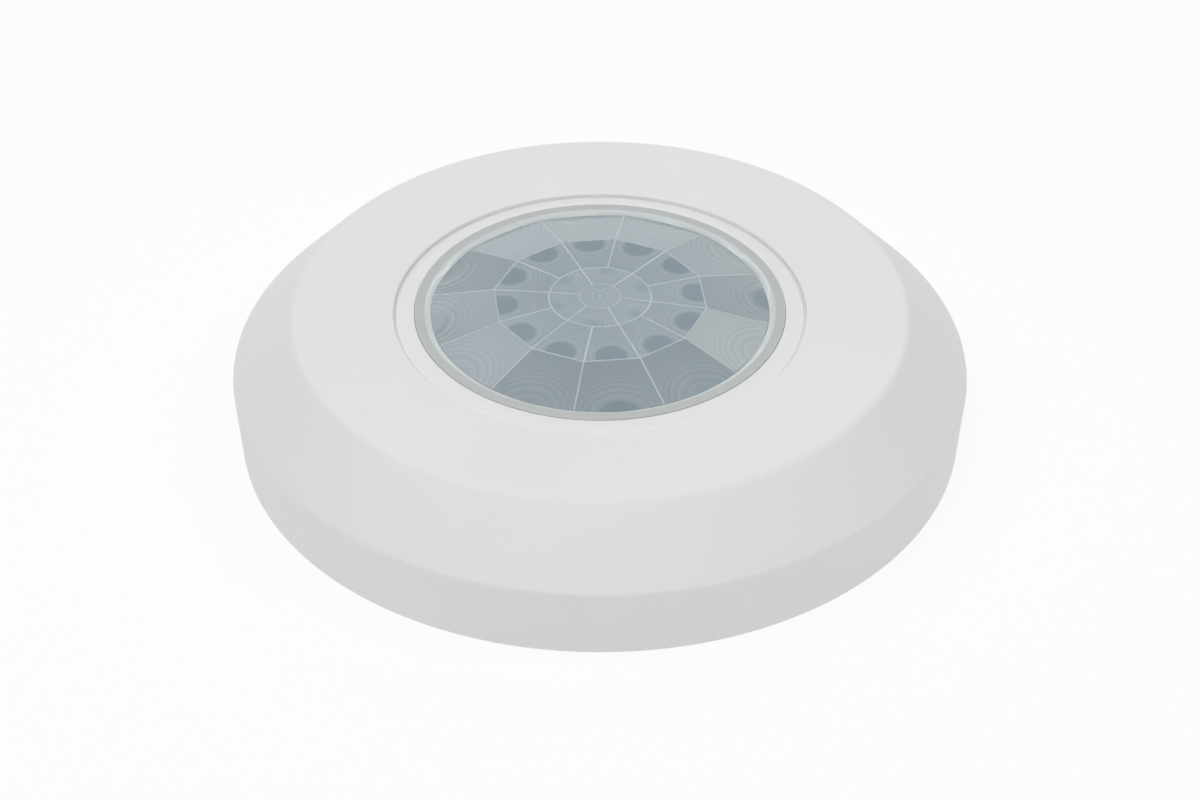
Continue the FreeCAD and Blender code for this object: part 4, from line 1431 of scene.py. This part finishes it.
@dataclass
class BoardArtwork:
    """Traces under the mask, vias, tinned pads and the white legend. Sizes are millimetres."""

    chips: Sequence[ChipPackage]
    trace_width: float = 0.45
    copper: float = 0.03
    ink: float = 0.045
    line: float = 0.16
    bar: float = 0.3
    via_radius: float = 0.5
    via_hole: float = 0.22
    via_height: float = 0.04
    bend: float = 0.8
    terminal_pitch: float = 3.5
    # nodes with an outline round them, and how far off it stands
    outlined: tuple[tuple[str, float], ...] = (
        ("microcontroller", 0.35), ("alarm_relay", 0.4), ("voltage_regulator", 0.35), ("surge_diode", 0.7),
        ("option_switch", 0.4), ("terminal_block", 0.35), ("alarm_indicator", 0.6), ("tamper_switch", 0.5))
    # circles round the detector and the two cans: radius and middle
    circles: tuple[tuple[float, tuple[float, float]], ...] = (
        (4.9, (0.0, 0.0)), (4.75, (17.8, -19.2)), (4.0, (-17.6, -19.4)))
    plus_signs: tuple[tuple[float, float], ...] = ((13.4, -16.2), (-13.2, -16.6))
    plus_half: float = 0.5

    def __post_init__(self) -> None:
        """Reads the board's top."""
        self.top = node_box("circuit_board")[1][2]

    def lane(self, start: tuple[float, float], lane: float, end: tuple[float, float]) -> np.ndarray:
        """Path that leaves start along Y, follows a lane along X and joins end, with 45 degree bends.

        Args:
            start: Where it starts.
            lane: The lane's y.
            end: Where it ends.

        Returns:
            Array (6, 2) of points.
        """
        (x0, y0), (x1, y1) = start, end
        side = math.copysign(1, x1 - x0)
        first, last = math.copysign(1, lane - y0), math.copysign(1, y1 - lane)
        wide_bend = self.bend + 0.7
        return np.array([(x0, y0), (x0, lane - first * self.bend), (x0 + side * self.bend, lane),
                         (x1 - side * wide_bend, lane), (x1, lane + last * wide_bend), (x1, y1)])

    @staticmethod
    def slant(start: tuple[float, float], turn_at: float, end: tuple[float, float]) -> np.ndarray:
        """Path that leaves start along Y, turns off at 45 degrees and joins end's column.

        Args:
            start: Where it starts.
            turn_at: The y at which it turns off.
            end: Where it ends.

        Returns:
            Array (4, 2) of points.
        """
        (x0, y0), (x1, y1) = start, end
        on = turn_at + math.copysign(abs(x1 - x0), y1 - y0)
        return np.array([(x0, y0), (x0, turn_at), (x1, on), (x1, y1)])

    def paths(self) -> list[np.ndarray]:
        """All traces: terminals to relay and regulator, controller to its neighbours, and short links.

        Returns:
            One array of points for each.
        """
        made = []
        terminal = [((i - 2.5) * self.terminal_pitch, -18.3) for i in range(6)]
        for i in range(3):
            column = -21.0 + 1.4 * i
            relay = -17.04 + 2.54 * i
            made.append(np.vstack([self.slant(terminal[i], -16.5, (column, -1.0))[:-1],
                                   [(column, 4.04 - 1.14 * i), (relay, 8.0), (relay, 8.6)]]))
            made.append(self.lane(terminal[3 + i], -14.8 - 0.65 * i, (17.5 + 1.5 * i, -4.4)))
            made.append(self.slant((9.39 + 1.27 * i, 11.2), 15.8 + 1.1 * i, (6.96 + 2.54 * i, 23.6)))
        for k in range(4):
            made.append(self.slant((13.2 + 1.27 * k, 4.8), 2.8 - 0.6 * k, (8.4 + 2.2 * k, -5.6)))
            made.append(np.array([(14.47 + 1.0 * k, 11.2), (14.47 + 1.0 * k, 12.2 + 0.7 * k)]))
            column, row = -9.5 - 2.2 * k, 0.6 - 0.8 * k
            made.append(np.array([(column, 2.0), (column, row), (column + 0.8, row - 0.8),
                                  (-5.0 - 0.4 * k, row - 0.8)]))
        links = (
            # controller to detector
            [(9.39, 4.8), (9.39, 4.2), (6.2, 1.01), (3.6, 1.01)],
            [(10.66, 4.8), (10.66, 3.4), (7.4, 0.14), (3.8, -0.4)],
            # resistor to indicator, and indicator to capacitor
            [(6.2, -7.5), (6.2, -8.3), (5.1, -9.4), (2.0, -9.4)],
            [(-2.0, -9.4), (-4.6, -9.4), (-6.5, -11.3), (-6.5, -12.3)],
            # tamper switch
            [(-10.6, 26.6), (-10.6, 24.4), (-14.5, 20.5), (-14.5, 16.5)],
            [(-5.4, 26.6), (-5.4, 22.4), (-4.8, 21.8), (-4.8, 19.4)],
            # diode to can
            [(-14.5, -13.2), (-17.6, -13.2), (-19.2, -14.8), (-19.2, -16.6)],
        )
        return made + [np.array(link) for link in links]

    def pads(self) -> Shape:
        """Tinned pads under the chips' feet, a little domed.

        Returns:
            Points and faces of all of them.
        """
        low = self.top
        pad = stacked([(0.6, 1.1, low), (0.56, 1.06, low + 0.03), (0.46, 0.9, low + 0.07)], 0.08)
        return joined([moved(pad, x, y) for chip in self.chips for x, y in chip.lead_spots()])

    def vias(self, paths: Sequence[np.ndarray]) -> Shape:
        """Rings of tinned copper at the traces' free ends, and two short rows of their own.

        Args:
            paths: The traces.

        Returns:
            Points and faces of all of them.
        """
        hole, edge, rise = self.via_hole, self.via_radius, self.via_height
        ring = lathe(np.array([hole, edge, edge - rise, hole + rise]),
                     self.top + np.array([0.0, 0.0, rise, rise]), even_turn(20), poles=False)
        ends = [path[-1] for path in paths if abs(path[-1][1]) < 20]
        ends += [(-3.0 + 2.0 * i, 13.0) for i in range(4)]
        ends += [(-22.5 + 0.8 * i, 19.0 + 1.2 * i) for i in range(4)]
        return joined([moved(ring, x, y) for x, y in ends])

    def outline(self, node: str, gap: float) -> Shape:
        """Line round a node's box.

        Args:
            node: The CAD node.
            gap: How far off the line's middle stands.

        Returns:
            Points and faces.
        """
        low, high = node_box(node)
        corners = [(low[0] - gap, low[1] - gap), (high[0] + gap, low[1] - gap),
                   (high[0] + gap, high[1] + gap), (low[0] - gap, high[1] + gap)]
        return ribbon(corners, self.line, self.top, self.top + self.ink, closed=True)

    def legend(self) -> Shape:
        """White outlines round the parts, plus signs at the cans and a bar at the diode; no lettering.

        Returns:
            Points and faces of all of it.
        """
        low, high, half = self.top, self.top + self.ink, self.plus_half
        drawn = [self.outline(node, gap) for node, gap in self.outlined]
        turn = even_turn(64)
        circle = np.stack([np.cos(turn), np.sin(turn)], axis=-1)
        for radius, centre in self.circles:
            drawn.append(ribbon(circle * radius + np.array(centre), self.line, low, high, closed=True))
        for x, y in self.plus_signs:
            drawn += [ribbon([(x - half, y), (x + half, y)], self.line, low, high),
                      ribbon([(x, y - half), (x, y + half)], self.line, low, high)]
        drawn.append(ribbon([(-9.4, -15.0), (-9.4, -11.4)], self.bar, low, high))
        return joined(drawn)

    def build(self) -> None:
        """Makes the four pieces that lie on the board."""
        paths = self.paths()
        low, high = self.top - 0.01, self.top + self.copper
        traces = joined([ribbon(path, self.trace_width, low, high) for path in paths])
        for name, part, stuff, slot in (("board_traces", traces, Stuff.MASKED_COPPER, "board_laminate"),
                                        ("board_pads", self.pads(), Stuff.SOLDER, "tinned_metal"),
                                        ("board_vias", self.vias(paths), Stuff.TIN, "tinned_metal"),
                                        ("board_legend", self.legend(), Stuff.INK, "relay_plastic")):
            piece = new_piece(name, *part, smooth=False)
            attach(piece, "base")
            dress(piece, stuff.material())
        LOG.info("board: %d traces", len(paths))


@dataclass
class SwitchLegs:
    """Tinned legs of the tamper switch and the option switch, laid over their feet. Sizes are millimetres."""

    height: float = 0.3
    lift: float = 0.015
    overlap: float = 0.02
    tamper_leg: tuple[float, float] = (1.44, 0.74)
    tamper_row: float = 2.2
    option_leg: tuple[float, float] = (0.74, 1.24)
    option_pitch: float = 2.54
    bevel: float = 0.08

    def build(self) -> None:
        """Adds four legs to the tamper switch and six to the option switch, at the nodes' ends."""
        level = node_box("circuit_board")[1][2] + self.height / 2 + self.lift
        parts = []
        low, high = node_box("tamper_switch")
        inset = self.tamper_leg[0] / 2 - self.overlap
        for x in (low[0] + inset, high[0] - inset):
            for row in (-1, 1):
                y = (low[1] + high[1]) / 2 + row * self.tamper_row
                parts.append(box_piece((*self.tamper_leg, self.height), (x, y, level), self.bevel))
        low, high = node_box("option_switch")
        inset = self.option_leg[1] / 2 - self.overlap
        for y in (low[1] + inset, high[1] - inset):
            for row in (-1, 0, 1):
                x = (low[0] + high[0]) / 2 + row * self.option_pitch
                parts.append(box_piece((*self.option_leg, self.height), (x, y, level), self.bevel))
        legs = new_piece("switch_legs", *joined(parts), smooth=False)
        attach(legs, "base")
        dress(legs, Stuff.TIN.material())
        LOG.info("switch legs: %d", len(parts))


@dataclass
class TamperSpring:
    """Compression spring round the tamper plunger, with closed ends. Sizes are millimetres."""

    wire: float = 0.45
    turns: float = 6.0
    dead_turns: float = 0.9
    turn_steps: int = 30
    sides: int = 10
    travel: float = 0.8

    def build(self) -> None:
        """Sweeps the wire round the coil.

        The angle is 2 pi * turns * s. The height rises by one wire over each end's share of dead turns, and
        evenly over the rest.
        """
        low, high = node_box("tamper_spring")
        x, y = (low[0] + high[0]) / 2, (low[1] + high[1]) / 2
        radius = (high[0] - low[0] - self.wire) / 2
        length = high[2] - low[2]
        share = np.linspace(0, 1, int(self.turns * self.turn_steps) + 1)
        dead = self.dead_turns / self.turns
        rise = np.interp(share, [0, dead, 1 - dead, 1],
                         [0, self.wire, length - 2 * self.wire, length - self.wire])
        angle = 2 * math.pi * self.turns * share
        out = np.stack([np.cos(angle), np.sin(angle), np.zeros_like(angle)], axis=-1)
        middle = out * radius + np.stack([np.full_like(angle, x), np.full_like(angle, y),
                                          low[2] + self.wire / 2 + rise], axis=-1)
        section = np.linspace(0, 2 * math.pi, self.sides, endpoint=False)
        rows = (middle[:, None] + self.wire / 2 * (np.cos(section)[None, :, None] * out[:, None]
                                                   - np.sin(section)[None, :, None] * np.array([0, 0, 1.0])))
        coil = new_piece("tamper_coil", *loft(rows))
        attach(coil, "base")
        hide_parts("tamper_spring")
        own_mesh(coil)
        dress(coil, Stuff.SPRING.material())
        LOG.info("tamper spring: %.1f turns", self.turns)


# ------------------------------------------------------------------------------------------
# Studio
# ------------------------------------------------------------------------------------------
@dataclass(frozen=True)
class SoftLight:
    """Oblong soft light aimed at the sensor.

    Lengths are metres and angles degrees; azimuth 0 is +Y and 90 is -X.
    """

    name: str
    azimuth: float
    elevation: float
    distance: float
    width: float
    height: float
    radiance: float
    colour: tuple[float, float, float] = (1.0, 1.0, 1.0)

    def place(self) -> None:
        """Adds the light; its power is radiance * pi * area."""
        light = bpy.data.lights.new(self.name, "AREA")
        light.shape = "RECTANGLE"
        light.size, light.size_y = self.width, self.height
        light.energy = self.radiance * math.pi * self.width * self.height
        light.color = self.colour
        item = bpy.data.objects.new(self.name, light)
        azimuth, elevation = math.radians(self.azimuth), math.radians(self.elevation)
        flat = math.cos(elevation)
        towards = Vector((-math.sin(azimuth) * flat, math.cos(azimuth) * flat, math.sin(elevation)))
        item.location = towards * self.distance
        item.rotation_euler = (-item.location).to_track_quat("-Z", "Y").to_euler()
        bpy.context.scene.collection.objects.link(item)


@dataclass
class Studio:
    """Plain pale floor, even surroundings, soft lights and the camera.

    Lengths are metres and angles degrees, apart from the lens's focal length and sensor, in millimetres.
    """

    floor_reach: float = 9.0
    # keeps the floor off the sensor's back
    floor_drop: float = 0.00002
    floor_grey: float = 0.12
    floor_glow: float = 0.865
    surroundings: float = 0.24
    camera_reach: float = 0.45
    camera_tilt: float = 36.35
    aim_height: float = 0.008
    aim_drop: float = 0.49
    focal: float = 110.85
    sensor: float = 36.0
    clip: tuple[float, float] = (0.01, 20.0)
    lights: tuple[SoftLight, ...] = (
        # name, azimuth, elevation, distance, width, height, radiance, colour
        SoftLight("overhead", 90.0, 80.0, 0.9, 0.8, 0.8, 0.7),
        SoftLight("front", 165.0, 62.0, 1.0, 0.8, 0.6, 2.2),
        SoftLight("left", 98.0, 50.0, 1.0, 0.5, 0.5, 1.6),
        SoftLight("right", -98.0, 52.0, 1.0, 0.5, 0.5, 2.1),
        SoftLight("left_back", 24.0, 43.0, 1.2, 0.3, 0.4, 1.9),
        SoftLight("right_back", -23.0, 40.0, 1.2, 0.3, 0.4, 2.2, (1.0, 0.97, 0.9)),
        SoftLight("back_strip", 0.0, 12.0, 1.3, 1.8, 0.4, 0.9),
    )

    def build(self) -> None:
        """Makes the floor, the surroundings, the lights and the camera."""
        self.floor()
        world = bpy.data.worlds.new("even_surroundings")
        world.use_nodes = True
        background = world.node_tree.nodes["Background"]
        background.inputs["Color"].default_value = (1.0, 1.0, 1.0, 1.0)
        background.inputs["Strength"].default_value = self.surroundings
        bpy.context.scene.world = world
        for light in self.lights:
            light.place()
        self.camera()
        view = bpy.context.scene.view_settings
        view.view_transform, view.look = "Standard", "None"
        view.exposure, view.gamma = 0.0, 1.0

    def floor(self) -> None:
        """A pale sheet that glows a little, so that it stays even and shows next to no shadow."""
        reach = self.floor_reach / MM
        corners = np.array([(-reach, -reach), (reach, -reach), (reach, reach), (-reach, reach)])
        corners = np.column_stack([corners, np.full(4, -self.floor_drop / MM)])
        sheet = new_piece("studio_floor", corners, [[0, 1, 2, 3]], smooth=False)
        material = bpy.data.materials.new("lit_white_sheet")
        material.use_nodes = True
        shader = material.node_tree.nodes["Principled BSDF"]
        shader.inputs["Base Color"].default_value = (self.floor_grey, self.floor_grey, self.floor_grey, 1.0)
        shader.inputs["Roughness"].default_value = 1.0
        shader.inputs["Specular IOR Level"].default_value = 0.0
        shader.inputs["Emission Color"].default_value = (1.0, 1.0, 1.0, 1.0)
        shader.inputs["Emission Strength"].default_value = self.floor_glow
        dress(sheet, material)

    def camera(self) -> None:
        """Camera at the front, looking down on the face."""
        lens = bpy.data.cameras.new("front_camera")
        lens.lens, lens.sensor_width = self.focal, self.sensor
        lens.clip_start, lens.clip_end = self.clip
        item = bpy.data.objects.new("front_camera", lens)
        tilt = math.radians(self.camera_tilt)
        back, up = self.camera_reach * math.cos(tilt), self.camera_reach * math.sin(tilt)
        item.location = (0, -back, self.aim_height + up)
        item.rotation_euler = Euler((math.radians(90 - self.camera_tilt - self.aim_drop), 0, 0))
        bpy.context.scene.collection.objects.link(item)
        bpy.context.scene.camera = item


# ------------------------------------------------------------------------------------------
# Everything
# ------------------------------------------------------------------------------------------
# the CAD nodes that stay in view, by finish
CARRIED_OVER = {
    Stuff.INNER_ABS: ("mounting_base", "ring_keeper", "lens_clamp"),
    Stuff.ZINC: ("keeper_screws", "board_screws", "terminal_clamps", "terminal_screws"),
    Stuff.RUBBER: ("wire_grommet", "detector_boot"),
    Stuff.SOLDER_MASK: ("circuit_board",),
    Stuff.NICKEL: ("detector_can",),
    Stuff.WINDOW: ("detector_window",),
    Stuff.TIN: ("detector_leads", "terminal_pins"),
    Stuff.TERMINAL: ("terminal_block",),
    Stuff.NYLON: ("tamper_plunger", "option_slider_1", "option_slider_2", "option_slider_3"),
    Stuff.EPOXY: ("tamper_switch",),
    Stuff.RED_POLYAMIDE: ("option_switch",),
}

CHIPS = (
    ChipPackage("controller", "microcontroller", (8.7, 3.9, 1.7), 7, 1.27, Stuff.EPOXY, "black_plastic",
                Stuff.LASER_MARK),
    ChipPackage("relay", "alarm_relay", (8.8, 6.4, 3.4), 3, 2.54, Stuff.RELAY, "relay_plastic", Stuff.EPOXY),
    ChipPackage("regulator", "voltage_regulator", (4.5, 2.5, 1.6), 3, 1.5, Stuff.EPOXY, "black_plastic",
                Stuff.LASER_MARK),
)


def dress_carried_over() -> None:
    """Gives the CAD nodes that stay in view their finishes."""
    for stuff, nodes in CARRIED_OVER.items():
        for node in nodes:
            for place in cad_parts[node].material_slots:
                place.material = stuff.material()


def main() -> None:
    """Builds the sensor's looks and the studio."""
    logging.basicConfig(level=logging.INFO, format="%(name)s: %(message)s")
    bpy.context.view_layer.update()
    CoverShell().build()
    LensRing().build()
    FresnelLens().build()
    for chip in CHIPS:
        chip.build()
    SmallParts().build()
    BoardArtwork(CHIPS).build()
    SwitchLegs().build()
    TamperSpring().build()
    dress_carried_over()
    Studio().build()


if __name__ == "__main__":
    main()
